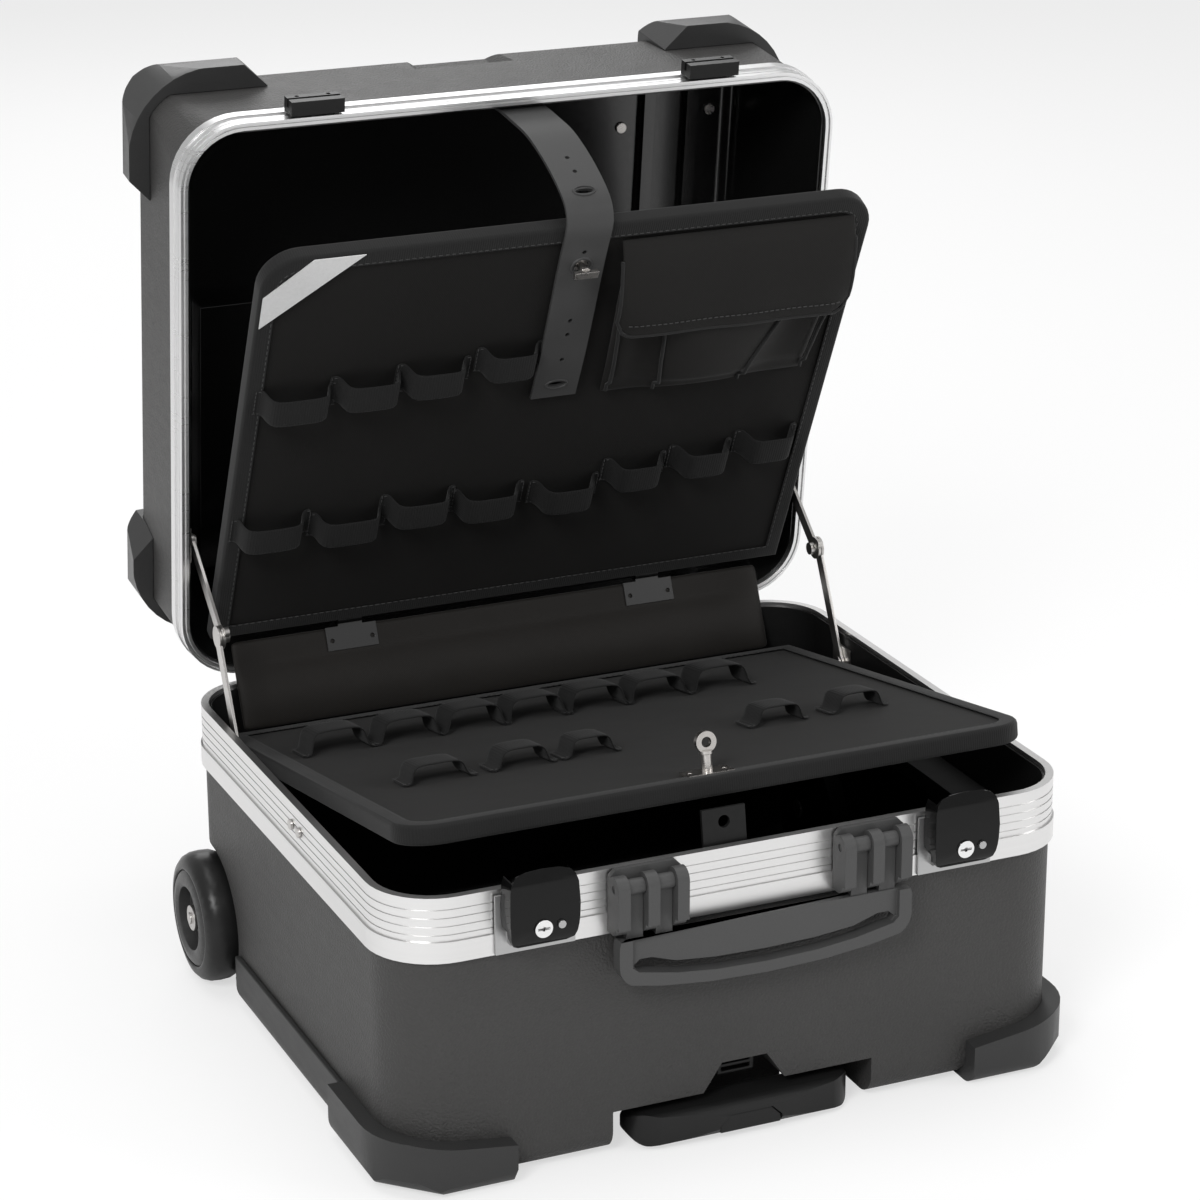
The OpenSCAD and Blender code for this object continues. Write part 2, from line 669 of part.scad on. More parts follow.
module lid_shell() {
    color("#474744") on_lid() difference() {
        union() {
            difference() {
                lid_body(shell_hw, shell_hd, shell_r, lid_lip + 2 * seat, lid_top, lid_taper, 16);
                lid_body(shell_hw - shell_t, shell_hd - shell_t, shell_r - shell_t,
                         lid_lip - 1, lid_top - shell_t, lid_taper, 13);
            }
            intersection() {
                block(-notch_hw - 14, notch_hw + 14, -hd, -hd + lid_taper + 12, lid_top - 36, lid_top - 1);
                lid_body(shell_hw - 1, shell_hd - 1, shell_r, lid_z0 + lid_band, lid_top - 1,
                         lid_taper, 15);
            }
        }
        // finger hollow in the middle of the front upper edge
        translate([0, -hd, lid_top - 33]) linear_extrude(40) polygon([
            [-notch_hw - 11, -5], [notch_hw + 11, -5], [notch_hw + 11, lid_taper + 1],
            [notch_hw, lid_taper + 9], [-notch_hw, lid_taper + 9], [-notch_hw - 11, lid_taper + 1]]);
    }
}

module lid_frame() {
    color("#c9cac8") on_lid() difference() {
        union() {
            band(hw - step, hd - step, corner_r - step, lid_z0, lid_lip + seat, rim_t - step);
            difference() {
                translate([0, 0, lid_lip]) linear_extrude(8) plan(hw, hd, corner_r);
                translate([0, 0, lid_lip + seat]) linear_extrude(16)
                    plan(shell_hw + 0.6, shell_hd + 0.6, shell_r + 0.6);
                translate([0, 0, lid_lip - 1]) linear_extrude(16) plan(in_hw, in_hd, corner_r - rim_t);
            }
        }
        // groove round the rim's face for its seal
        difference() {
            translate([0, 0, lid_z0 - 1]) linear_extrude(2.2) plan(hw - 3, hd - 3, corner_r - 3);
            translate([0, 0, lid_z0 - 2]) linear_extrude(5) plan(hw - 4.2, hd - 4.2, corner_r - 4.2);
        }
        band(hw + 1, hd + 1, corner_r + 1, lid_z0 + 5, lid_z0 + 5.9, step + 1.6);
    }
}

module lid_liner() {
    color("#0e0e0e") on_lid() difference() {
        lid_body(in_hw - 0.3, in_hd - 0.3, corner_r - rim_t + 0.9, lid_z0 + 3, lid_top - shell_t - 0.3,
                 lid_taper, 12.7);
        difference() {
            lid_body(lin_hw, lin_hd, corner_r - rim_t - liner_t, lid_z0 + 2,
                     lid_top - shell_t - 0.3 - liner_t, lid_taper, 11);
            // steps moulded across both ends of the lining
            for (i = [0 : 3]) block(-hw, 6 * i - board_hw - 0.8, -hd, hd, lid_top - 14 - 7 * (3 - i),
                                    lid_top - 6.5 - 7 * (3 - i));
            for (x = [150, 184]) block(x, x + 9, -hd, hinge_y - 240, lid_top - 12, lid_top);
            block(-notch_hw - 16, notch_hw + 16, -hd, -hd + lid_taper + 14, lid_top - 39, lid_top);
        }
        block(-notch_hw - 14.4, notch_hw + 14.4, -hd, -hd + lid_taper + 12.4, lid_top - 36.4, lid_top);
    }
}

// plan of one corner piece of the lid, its two ends ramped: x0 and y0 are its ends
module corner_plan(x0, y0, w, d) {
    polygon([[x0, d - 17], [x0 + 19, d + 1], [w + 1, d + 1], [w + 1, y0 + 19], [w - 17, y0],
             [w - 70, y0], [x0, d - 60]]);
}

module lid_bumpers() {
    color("#333331") on_lid() difference() {
        intersection() {
            lid_body(hw + 6, hd + 8, corner_r + 14, lid_top - 44, lid_top + 2, lid_taper - 2, 14);
            both_sides() {
                translate([0, 0, lid_top - 50]) linear_extrude(60) mirror([0, 1, 0])
                    corner_plan(148, hd - 84, hw + 7, hd + 9);
                translate([0, 0, lid_top - 50]) linear_extrude(60)
                    corner_plan(156, hd - 72, hw + 7, hd + 9);
            }
        }
        translate([0, 0, 0.2]) lid_body(shell_hw + 0.1, shell_hd + 0.1, shell_r, lid_z0 + lid_band,
                                        lid_top, lid_taper, 16);
        translate([0, 0, lid_top - 5]) linear_extrude(20) plan(hw - 34, hd - 34, 20);
    }
}

module lid_catches() {
    color("#191919") on_lid() for (s = [-1, 1]) translate([s * (lock_x - 2), 0, 0]) difference() {
        block(-18.5, 18.5, -hd - 9.8, -hd - 0.1, lid_z0 + 0.2, lid_z0 + 15);
        block(-20, 20, -hd - 12, -hd - 4, lid_z0 + 6.5, lid_z0 + 9.5);
        for (x = [-11, 11]) yrod(-hd - 12, -hd + 1, x, lid_z0 + 12, 1.5);
    }
}

module document_pocket() {
    color("#202123") on_lid() {
        block(-190, 190, hinge_y - 235, hinge_y - 33, lid_top - 24, lid_top - 22);
        for (x = [-190, 188]) block(x, x + 2, hinge_y - 235, hinge_y - 33, lid_top - 22 - e, lid_floor - seat);
        block(-190, 190, hinge_y - 35, hinge_y - 33, lid_top - 22 - e, lid_floor - seat);
    }
}

module lid_studs() {
    color("#c4c6c8") on_lid() for (p = [[135, 330], [205, 338], [-60, 372], [68, 372]])
        translate([p[0], hinge_y - p[1], lid_floor - seat - 1.7]) cylinder(h = 1.7, r = 4);
}

// ---------- stays ----------

module stay_feet() {
    color("#a4a29c") both_sides() {
        block(lin_hw - 1.7, lin_hw - 0.2, foot_y - 12, foot_y + 14, foot_z - 10, foot_z + 12);
        xrod(stay_x - 2.9, lin_hw - 1, foot_y, foot_z, 2.5);
        xrod(stay_x - 3.7, stay_x - 2.4, foot_y, foot_z, 4.5);
        for (y = [-22, -37]) {
            xrod(in_hw - 0.2, hw + 0.2, y, rim_h - 15, 2);
            xrod(hw - step + 0.1, hw + 0.8, y, rim_h - 15, 3.4);
        }
    }
}

module stay_lower(s) {
    color("#a9a69d") mirror([s < 0 ? 1 : 0, 0, 0]) difference() {
        union() {
            link(stay_x - 2, stay_x, [foot_y, foot_z], [knee_y, knee_z], 9, 5.5, 8);
        }
        xrod(stay_x - 4, stay_x + 2, foot_y, foot_z, 2.5 + run);
    }
}

// world place of the stay's pivot on the open lid
head_y = hinge_y - head_s * cos(lid_open) + head_n * sin(lid_open);
head_z = rim_h + head_s * sin(lid_open) + head_n * cos(lid_open);

module stay_upper(s) {
    color("#a9a69d") mirror([s < 0 ? 1 : 0, 0, 0]) difference() {
        union() {
            link(stay_x - 4.4, stay_x - 2.4, [knee_y, knee_z], [head_y, head_z], 9, 8, 5.5);
            xrod(stay_x - 8.5, stay_x - 3, knee_y, knee_z, 4.5);
            xrod(stay_x - 6.4, stay_x - 3, knee_y - 7.5, knee_z + 5.5, 3.4);
        }
        xrod(stay_x - 6, stay_x, head_y, head_z, 2.5 + run);
    }
}

module stay_heads() {
    color("#a4a29c") on_lid() both_sides() {
        translate([head_wall - seat, head_cy, head_cz]) rotate([0, -wall_lean, 0])
            block(-1.5, 0, -14, 12, -9, 12);
        xrod(stay_x - 5.3, head_wall - 1, head_cy, head_cz, 2.5);
        xrod(stay_x - 2.1, head_wall - 1, head_cy, head_cz, 4);
        xrod(stay_x - 6.1, stay_x - 4.8, head_cy, head_cz, 4.5);
    }
}

// ---------- wheels ----------

module tyre(s) {
    color("#1d1d1d") mirror([s < 0 ? 1 : 0, 0, 0]) translate([wheel_x, wheel_y, wheel_r])
        rotate([0, 90, 0]) rotate_extrude() polygon([
            [34.1, 1], [40, 0.5], [43.6, 2.5], [45.6, 7], [wheel_r, 13], [45.6, 19],
            [43.8, 23.5], [40.5, 26.6], [36, tyre_w], [34.1, tyre_w - 0.6]]);
}

module hub(s) {
    color("#3b3b3a") mirror([s < 0 ? 1 : 0, 0, 0]) translate([wheel_x, wheel_y, wheel_r])
        difference() {
            rotate([0, 90, 0]) rotate_extrude() polygon([
                [axle_r + run, 0], [12, 0], [13, 6], [28, 6], [30, 1.5], [34, 1.5], [34, 26.5],
                [31, tyre_w + 0.6], [26, tyre_w + 1.4], [22.5, tyre_w], [21.5, 20], [12, 18.5],
                [11, 22], [axle_r + run, 22]]);
            for (a = [0 : 60 : 359]) rotate([a, 0, 0]) translate([10, 0, 17]) rotate([0, 90, 0])
                cylinder(h = 20, r = 3.2);
        }
}

// ---------- tool boards ----------

// board outline seen square on: w half width, l length, rounded at its free end
module board_shape(w, l, r) {
    polygon(concat([[-w + 4, -5]], [[w - 4, -5], [w, -9]], arc(w - r, -l + r, r, 0, -90, 8),
                   arc(r - w, -l + r, r, 270, 180, 8), [[-w, -9]]));
}

module board_rail() {
    color("#3c3d3e") {
        block(-194, 194, lin_hd - 3.2, lin_hd - 0.2, piv_z - 18, piv_z - 9);
        for (x = [-208, -10, 190]) block(x, x + 18, piv_y - 4, lin_hd - 3, piv_z - 18, piv_z - 9);
        for (x = [-208, -10, 190]) difference() {
            union() {
                xrod(x, x + 18, piv_y, piv_z, 4.6);
                block(x, x + 18, piv_y - 4, piv_y + 4, piv_z - 12, piv_z);
            }
            xrod(x - 1, x + 19, piv_y, piv_z, board_pin_r + 0.02);
        }
    }
    color("#a0a2a3") xrod(-209, 209, piv_y, piv_z, board_pin_r);
}

module lower_board() {
    color("#242322") on_lower() difference() {
        union() {
            translate([0, 0, -board_t / 2]) linear_extrude(board_t) board_shape(board_hw, lower_len, 26);
            both_sides() {
                xrod(122, 186, 0, 0, 4.6);
                block(122, 186, -10, 0, -4, 4);
            }
        }
        xrod(-220, 220, 0, 0, board_pin_r + run);
        both_sides() block(186.3, 222, -5.5, 8, -8, 8);
        block(-121.7, 121.7, -5.5, 8, -8, 8);
    }
}

// one elastic loop, drawn on a face: w wide, h long, d proud, three flat bands
module loop(w, h, d) {
    block(-w / 2, w / 2, -h / 2, h / 2, d - 1.6, d);
    block(-w / 2, -w / 2 + 1.6, -h / 2, h / 2, 0.15, d - 1.65);
    block(w / 2 - 1.6, w / 2, -h / 2, h / 2, 0.15, d - 1.65);
}

lower_row = [-172, -122, -74, -28, 18, 64, 112];
lower_small = [[-150, 38], [-92, 34], [-44, 30], [92, 32], [152, 32]];

module lower_loops() {
    color("#3a3a39") on_lower() translate([0, 0, board_t / 2]) {
        for (x = lower_row) translate([x, -100, 0]) loop(40, 30, 17);
        for (p = lower_small) translate([p[0], -232, 0]) loop(p[1], 26, 13);
    }
}

module lower_turn_plate() {
    color("#c2bdb2") on_lower() translate([-8, -lower_len + 15, board_t / 2]) {
        difference() {
            block(-16, 16, -8, 8, 0.1, 1.6);
            for (x = [-12, 12]) translate([x, 0, -1]) cylinder(h = 5, r = 1.5);
        }
        translate([0, 0, 1.6 - e]) cylinder(h = 11, r = 3.4);
    }
}

module lower_turn_knob() {
    color("#cfc9bd") on_lower() translate([-8, -lower_len + 15, board_t / 2]) difference() {
        union() {
            translate([0, 0, 13]) cylinder(h = 2, r = 4.4);
            translate([0, 2, 20.5]) rotate([90, 0, 0]) cylinder(h = 4, r = 7);
        }
        translate([0, 4, 20.5]) rotate([90, 0, 0]) cylinder(h = 8, r = 3.4);
        block(-8, 8, -3, 3, 10, 12.9);
    }
}

module front_strap() {
    color("#2a2a2b") translate([-12, 0, 0]) difference() {
        union() {
            block(-15, 15, -lin_hd + 0.3, -lin_hd + 3.1, rim_h - 42, rim_h - 4);
            translate([0, -lin_hd + 1.7, rim_h - 5]) rotate([-9, 0, 0])
                block(-15, 15, -1.4, 1.4, 0, 27);
        }
        yrod(-lin_hd - 5, -lin_hd + 20, 0, rim_h + 13, 4);
        yrod(-lin_hd - 5, -lin_hd + 5, 0, rim_h - 22, 2.4);
    }
}

module spine() {
    color("#262627") on_spine() difference() {
        union() {
            block(-board_hw + 16, board_hw - 16, -1, 1, 6.2, 42);
            block(-board_hw + 10, board_hw - 10, -1, 1, 42 - e, spine_h - 5.5);
            for (x = [-115, 61]) {
                xrod(x, x + 54, 0, 0, 4.6);
                block(x, x + 54, -1, 1, 2, 8);
            }
        }
        xrod(-220, 220, 0, 0, board_pin_r + run);
    }
}

module spine_hinges() {
    color("#b9bab8") on_spine() {
        for (x = [-134, 96]) difference() {
            union() {
                block(x, x + 38, -2.5, -1.2, spine_h - 22, spine_h - 5.2);
                xrod(x + 10, x + 28, 0, spine_h, 4.4);
                block(x + 10, x + 28, -2.5, -1.2, spine_h - 8, spine_h);
            }
            xrod(x - 1, x + 40, 0, spine_h, 2.02);
            for (k = [4, 34]) yrod(-5, 0, x + k, spine_h - 15, 1.6);
        }
        xrod(-136, 136, 0, spine_h, 2);
    }
}

module upper_board() {
    color("#262423") on_upper() difference() {
        union() {
            rotate([-90, 0, 0]) translate([0, 0, -board_t / 2]) linear_extrude(board_t)
                board_shape(board_hw, upper_len, 26);
            for (x = [-134, 96]) for (k = [-9, 28.5]) {
                xrod(x + k, x + k + 18.5, 0, 0, 4.4);
                block(x + k, x + k + 18.5, -3, 3, 0, 10);
            }
        }
        xrod(-220, 220, 0, 0, 2 + run);
        for (x = [-134, 96]) block(x + 9.6, x + 28.4, -8, 8, -8, 6);
    }
}

// loops on the upper board: x, distance up the board, width, length
upper_rows = [[-184, 222, 44, 22], [-134, 226, 40, 22], [-88, 230, 40, 22], [-34, 236, 36, 22],
    [-188, 108, 44, 22], [-132, 104, 44, 22], [-82, 112, 42, 22], [-30, 108, 42, 22],
    [28, 106, 40, 22], [80, 118, 36, 22], [130, 122, 36, 22], [180, 128, 36, 22]];

module upper_loops() {
    color("#3a3a39") on_upper() translate([0, -board_t / 2, 0]) rotate([90, 0, 0])
        for (p = upper_rows) translate([p[0], p[1], 0]) loop(p[2], p[3], 17);
}

module pouch() {
    color("#2b2a2b") on_upper() difference() {
        block(30, 206, -board_t / 2 - 28, -board_t / 2 - 0.2, 192, 326);
        block(32, 204, -board_t / 2 - 26, -board_t / 2 - 2, 194, 330);
    }
}

module pouch_flap() {
    color("#302f30") on_upper() {
        block(26, 210, -board_t / 2 - 30.6, -board_t / 2 - 28.8, 262, 329);
        block(26, 210, -board_t / 2 - 30.6, -board_t / 2 - 2.4, 326.6, 329);
    }
}

module upper_turn_plate() {
    color("#c2bdb2") on_upper() translate([strap_x, -board_t / 2, upper_len - 30]) {
        difference() {
            block(-13, 13, -1.6, -0.1, -8, 8);
            for (x = [-10, 10]) yrod(-4, 1, x, 0, 1.3);
        }
        yrod(-9, -1.6 + e, 0, 0, 2.8);
    }
}

module upper_turn_knob() {
    color("#cfc9bd") on_upper() translate([strap_x, -board_t / 2, upper_len - 30]) {
        yrod(-11.2, -9.2, 0, 0, 4);
        block(-8.5, 8.5, -14, -11.2 + e, -2.6, 2.6);
    }
}

// side view of a thin strip: a row of points, thickened to the left of its run
function side(p, i) = let (a = p[max(i - 1, 0)], b = p[min(i + 1, len(p) - 1)], v = (b - a) / norm(b - a))
    [-v[1], v[0]];
function strip(p, t) = concat(p, [for (i = [len(p) - 1 : -1 : 0]) p[i] + t * side(p, i)]);

// a point of the open lid, s from its hinge and n above its rim, as [y, z]
function lid_world(s, n) = [hinge_y - s * cos(lid_open) + n * sin(lid_open),
                            rim_h + s * sin(lid_open) + n * cos(lid_open)];
// the same point as the upper board sees it
function in_upper(p) = let (y = p[0] - sp_y, z = p[1] - sp_z)
    [y * cos(upper_lean) + z * sin(upper_lean), z * cos(upper_lean) - y * sin(upper_lean)];

face = -board_t / 2;
strap_run = [[face - 1.4, 196], [face - 2.6, 228], [face - 2.6, 262], [face - 1.9, upper_len - 44],
    [face - 1.9, upper_len - 16], [face - 2.6, upper_len - 4], [face - 1.4, upper_len + 7],
    [face + 6, upper_len + 15], [14, upper_len + 19], [40, upper_len + 21], [70, upper_len + 18],
    [96, upper_len + 12], in_upper(lid_world(hinge_y + lin_hd - 3.2, 6)),
    in_upper(lid_world(hinge_y + lin_hd - 4.5, 24))];

module lid_strap() {
    color("#3d3d3b") on_upper() translate([strap_x - strap_w / 2, 0, 0]) difference() {
        rotate([90, 0, 90]) linear_extrude(strap_w) polygon(strip(strap_run, 2.2));
        yrod(-30, 5, strap_w / 2, upper_len - 30, 5);
        for (z = [205, 250, 282]) block(strap_w / 2 - 7, strap_w / 2 + 7, -30, 0, z, z + 4);
        for (z = [220, 235]) yrod(-30, 0, strap_w / 2, z, 1.6);
    }
}

// ---------- tree ----------

base_shell();
base_frame();
base_liner();
base_dividers();
base_bumpers();
side_runners();
wheel_axles();
trolley_rails();
trolley_latch();
handle_mounts();
pivot_pins();
lock_plates();
hinge_base();
hinge_pins();
stay_feet();
board_rail();
front_strap();
lid_shell();
lid_frame();
lid_liner();
lid_bumpers();
lid_catches();
hinge_lid();
document_pocket();
lid_studs();
stay_heads();
stay_lower(-1);  // stay_lower_left
stay_lower(1);  // stay_lower_right
stay_upper(-1);  // stay_upper_left
stay_upper(1);  // stay_upper_right
lock_lever(-1);  // lock_lever_left
lock_lever(1);  // lock_lever_right
key_barrel(-1);  // key_barrel_left
key_barrel(1);  // key_barrel_right
lock_button(-1);  // lock_button_left
lock_button(1);  // lock_button_right
carry_handle();
trolley_mid();
trolley_grip();
trolley_button();
tyre(-1);  // tyre_left
tyre(1);  // tyre_right
hub(-1);  // hub_left
hub(1);  // hub_right
lower_board();
lower_loops();
lower_turn_plate();
lower_turn_knob();
spine();
spine_hinges();
upper_board();
upper_loops();
pouch();
pouch_flap();
upper_turn_plate();
upper_turn_knob();
lid_strap();
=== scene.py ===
import json
import math
import random
from bisect import bisect_right
import bpy
import bmesh
from mathutils import Matrix, Vector, noise

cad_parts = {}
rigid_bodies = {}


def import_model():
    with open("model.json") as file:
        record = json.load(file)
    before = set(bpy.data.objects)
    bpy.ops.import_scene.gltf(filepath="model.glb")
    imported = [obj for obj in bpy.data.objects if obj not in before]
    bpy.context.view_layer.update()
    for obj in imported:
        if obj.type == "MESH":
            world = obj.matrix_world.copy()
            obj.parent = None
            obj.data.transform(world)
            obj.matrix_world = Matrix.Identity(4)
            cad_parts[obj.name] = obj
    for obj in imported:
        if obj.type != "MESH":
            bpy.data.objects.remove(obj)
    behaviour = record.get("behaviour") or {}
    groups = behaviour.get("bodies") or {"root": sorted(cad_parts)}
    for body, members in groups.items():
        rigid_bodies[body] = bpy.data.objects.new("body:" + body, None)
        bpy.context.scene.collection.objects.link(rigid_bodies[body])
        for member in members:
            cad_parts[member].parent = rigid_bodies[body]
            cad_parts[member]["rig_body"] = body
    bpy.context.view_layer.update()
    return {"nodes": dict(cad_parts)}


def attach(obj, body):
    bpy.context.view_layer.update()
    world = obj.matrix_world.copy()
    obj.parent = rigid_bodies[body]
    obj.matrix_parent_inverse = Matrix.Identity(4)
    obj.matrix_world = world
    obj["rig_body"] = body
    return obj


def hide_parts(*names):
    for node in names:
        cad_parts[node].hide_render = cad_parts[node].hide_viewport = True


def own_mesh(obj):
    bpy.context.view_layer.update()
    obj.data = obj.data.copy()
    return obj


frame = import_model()

viewSetup = {
    "azimuth": -23.83,
    "elevation": 19.72,
    "roll": -0.18,
    "place": (-0.92874, -2.07592, 1.11088),
    "focalPixels": 3642.6,
    "imagePixels": 1200,
    "sensorWidth": 36.0,
    "clipEnd": 50,
}


def addCamera(setup):
    data = bpy.data.cameras.new("photoCamera")
    data.sensor_fit = "HORIZONTAL"
    data.sensor_width = setup["sensorWidth"]
    data.lens = setup["focalPixels"] / setup["imagePixels"] * setup["sensorWidth"]
    data.clip_end = setup["clipEnd"]
    azimuth = math.radians(setup["azimuth"])
    elevation = math.radians(setup["elevation"])
    roll = math.radians(setup["roll"])
    back = Vector((math.sin(azimuth) * math.cos(elevation),
                   -math.cos(azimuth) * math.cos(elevation), math.sin(elevation)))
    right = (-back).cross(Vector((0, 0, 1))).normalized()
    up = right.cross(-back)
    right, up = (right * math.cos(roll) + up * math.sin(roll),
                 up * math.cos(roll) - right * math.sin(roll))
    camera = bpy.data.objects.new("photoCamera", data)
    turn = Matrix((right, up, back)).transposed().to_4x4()
    camera.matrix_world = Matrix.Translation(setup["place"]) @ turn
    bpy.context.scene.collection.objects.link(camera)
    bpy.context.scene.camera = camera


addCamera(viewSetup)
bpy.context.scene.view_settings.view_transform = "Standard"
print("camera placed")

# where the turned groups of the case sit, in metres and degrees
caseSize = {
    "hinge": (0.205, 0.200),
    "lidOpen": 83.0,
    "boardHinge": (0.178, 0.164),
    "lowerTilt": 10.5,
    "panelHeight": 0.074,
    "panelLean": 23.0,
    "upperLean": 25.5,
    "boardHalf": 0.218,
    "boardThick": 0.012,
    "boardPlay": 0.005,
    "lowerEnd": 0.358,
    "upperEnd": 0.340,
}


def turned(origin, degrees):
    return Matrix.Translation((0, *origin)) @ Matrix.Rotation(math.radians(degrees), 4, "X")


lidTurn = turned(caseSize["hinge"], -caseSize["lidOpen"])
lowerPlace = turned(caseSize["boardHinge"], -caseSize["lowerTilt"])
panelPlace = turned(caseSize["boardHinge"], -caseSize["panelLean"])
panelTop = panelPlace @ Vector((0, 0, caseSize["panelHeight"]))
upright = Matrix.Rotation(math.radians(90), 4, "X")
upperPlace = turned((panelTop.y, panelTop.z), caseSize["upperLean"]) @ upright
faceHeight = caseSize["boardThick"] / 2  # a board's face over its middle plane


class Wire:
    def __init__(self, tree, socket):
        self.tree = tree
        self.socket = socket

    def calc(self, operation, *values):
        node = self.tree.nodes.new("ShaderNodeMath")
        node.operation = operation
        for index, value in enumerate(values):
            plug(self.tree, node.inputs[index], value)
        return Wire(self.tree, node.outputs[0])

    def __add__(self, other):
        return self.calc("ADD", self, other)

    def __radd__(self, other):
        return self.calc("ADD", other, self)

    def __sub__(self, other):
        return self.calc("SUBTRACT", self, other)

    def __rsub__(self, other):
        return self.calc("SUBTRACT", other, self)

    def __mul__(self, other):
        return self.calc("MULTIPLY", self, other)

    def __rmul__(self, other):
        return self.calc("MULTIPLY", other, self)

    def sine(self):
        return self.calc("SINE", self)

    def other(self, output):
        return Wire(self.tree, self.socket.node.outputs[output])


def plug(tree, socket, value):
    if isinstance(value, Wire):
        tree.links.new(value.socket, socket)
    else:
        socket.default_value = value


class Nodes:
    def __init__(self, tree):
        self.tree = tree
        tree.nodes.clear()

    def node(self, kind, settings=None, values=None, output=0):
        made = self.tree.nodes.new("ShaderNode" + kind)
        for key, value in (settings or {}).items():
            setattr(made, key, value)
        for key, value in (values or {}).items():
            plug(self.tree, made.inputs[key], value)
        return Wire(self.tree, made.outputs[output]) if made.outputs else None

    def place(self, scale=(1, 1, 1), turn=0.0):
        spot = self.node("TexCoord").other("Object")
        return self.node("Mapping", values={"Vector": spot, "Rotation": (turn, 0, 0), "Scale": scale})

    def specks(self, spot, scale, detail=3.0):
        return self.node("TexNoise", values={"Vector": spot, "Scale": scale, "Detail": detail})

    def blend(self, factor, first, second):
        return self.node("Mix", {"data_type": "RGBA"}, {0: factor, 6: first, 7: second}, output=2)


class Finish(Nodes):
    def __init__(self, name):
        self.material = bpy.data.materials.new(name)
        self.material.use_nodes = True
        super().__init__(self.material.node_tree)

    def finish(self, colour, roughness, bumps=(), metallic=0.0, **constants):
        values = {"Base Color": colour, "Roughness": roughness, "Metallic": metallic, **constants}
        for height, strength, distance in bumps:  # each bump carries on from the one before it
            bump = {"Height": height, "Strength": strength, "Distance": distance}
            if "Normal" in values:
                bump["Normal"] = values["Normal"]
            values["Normal"] = self.node("Bump", values=bump)
        shader = self.node("BsdfPrincipled", values=values)
        self.node("OutputMaterial", values={"Surface": shader})
        return self.material


def grey(level, warm=0.0):
    return (level * (1 + warm), level, level * (1 - warm), 1.0)


def tinted(colour, factor):
    return tuple(min(1.0, part * factor) for part in colour[:3]) + (1.0,)


def mouldedPlastic(name, colour, roughness, grain=900.0, depth=0.00012, blotch=0.12, shine=0.3):
    f = Finish(name)
    spot = f.place()
    cloud = f.specks(spot, 7.0)
    pebble = f.specks(spot, grain, 2.0)
    rub = f.specks(f.place((1, 1, 3)), 60.0, 4.0)
    tone = cloud * 0.7 + rub * 0.3
    shade = f.blend(tone * 0.55 + pebble * 0.45,
                    tinted(colour, 1 - blotch * 2), tinted(colour, 1 + blotch * 2))
    return f.finish(shade, roughness + (rub - 0.5) * 0.12,
                    [(pebble, 0.8, depth), (cloud, 0.12, 0.002)], **{"Specular IOR Level": shine})


def glossPlastic(name, colour, roughness, ripple=0.0006, shine=0.16):
    f = Finish(name)
    spot = f.place()
    wave = f.specks(spot, 14.0, 1.0)
    dust = f.specks(spot, 240.0, 4.0)
    shade = f.blend(dust, colour, tinted(colour, 1.7))
    return f.finish(shade, roughness + dust * 0.08, [(wave, 0.2, ripple)],
                    **{"Coat Weight": shine * 0.4, "Coat Roughness": 0.1, "Specular IOR Level": shine})


def rolledMetal(name, colour, roughness, turn=0.0, stretch=(6, 6, 1400), contrast=0.08):
    f = Finish(name)
    lines = f.specks(f.place(stretch, turn), 1.0, 3.0)
    cloud = f.specks(f.place(), 22.0, 3.0)
    shade = f.blend(lines * 0.6 + cloud * 0.4,
                    tinted(colour, 1 - contrast), tinted(colour, 1 + contrast))
    return f.finish(shade, roughness + (lines - 0.5) * 0.16 + (cloud - 0.5) * 0.08,
                    [(lines, 0.05, 0.00008)], metallic=1.0)


def polishedMetal(name, colour, roughness):
    f = Finish(name)
    haze = f.specks(f.place(), 160.0, 4.0)
    shade = f.blend(haze, tinted(colour, 0.86), colour)
    return f.finish(shade, roughness + haze * 0.12, [(haze, 0.05, 0.0002)], metallic=1.0)


def wovenCloth(name, colour, pitch, roughness=0.82, depth=0.00018, sheen=0.06, ribbed=False):
    f = Finish(name)
    spot = f.node("UVMap", {"uv_map": "cloth"})
    across = f.node("SeparateXYZ", values={"Vector": spot})
    turn = 2 * math.pi / pitch
    warp = (across * turn).sine()
    weft = (across.other(1) * turn).sine()
    weave = warp * 0.5 + 0.5 if ribbed else warp * weft * 0.5 + 0.5
    cloud = f.specks(f.place(), 16.0, 3.0)
    fuzz = f.specks(f.place(), 520.0, 2.0)
    tone = weave * 0.35 + cloud * 0.4 + fuzz * 0.25
    shade = f.blend(tone, tinted(colour, 0.72), tinted(colour, 1.3))
    return f.finish(shade, roughness, [(weave, 0.5, depth), (cloud, 0.25, 0.003)],
                    **{"Sheen Weight": sheen, "Sheen Roughness": 0.45, "Specular IOR Level": 0.14})


def softRubber(name, colour, roughness):
    f = Finish(name)
    spot = f.place()
    cloud = f.specks(spot, 30.0, 3.0)
    pores = f.specks(spot, 1200.0, 2.0)
    shade = f.blend(cloud * 0.7 + pores * 0.3, tinted(colour, 0.8), tinted(colour, 1.25))
    return f.finish(shade, roughness + (cloud - 0.5) * 0.15,
                    [(pores, 0.3, 0.0001), (cloud, 0.1, 0.001)], **{"Specular IOR Level": 0.32})


openTurn = math.radians(caseSize["lidOpen"])
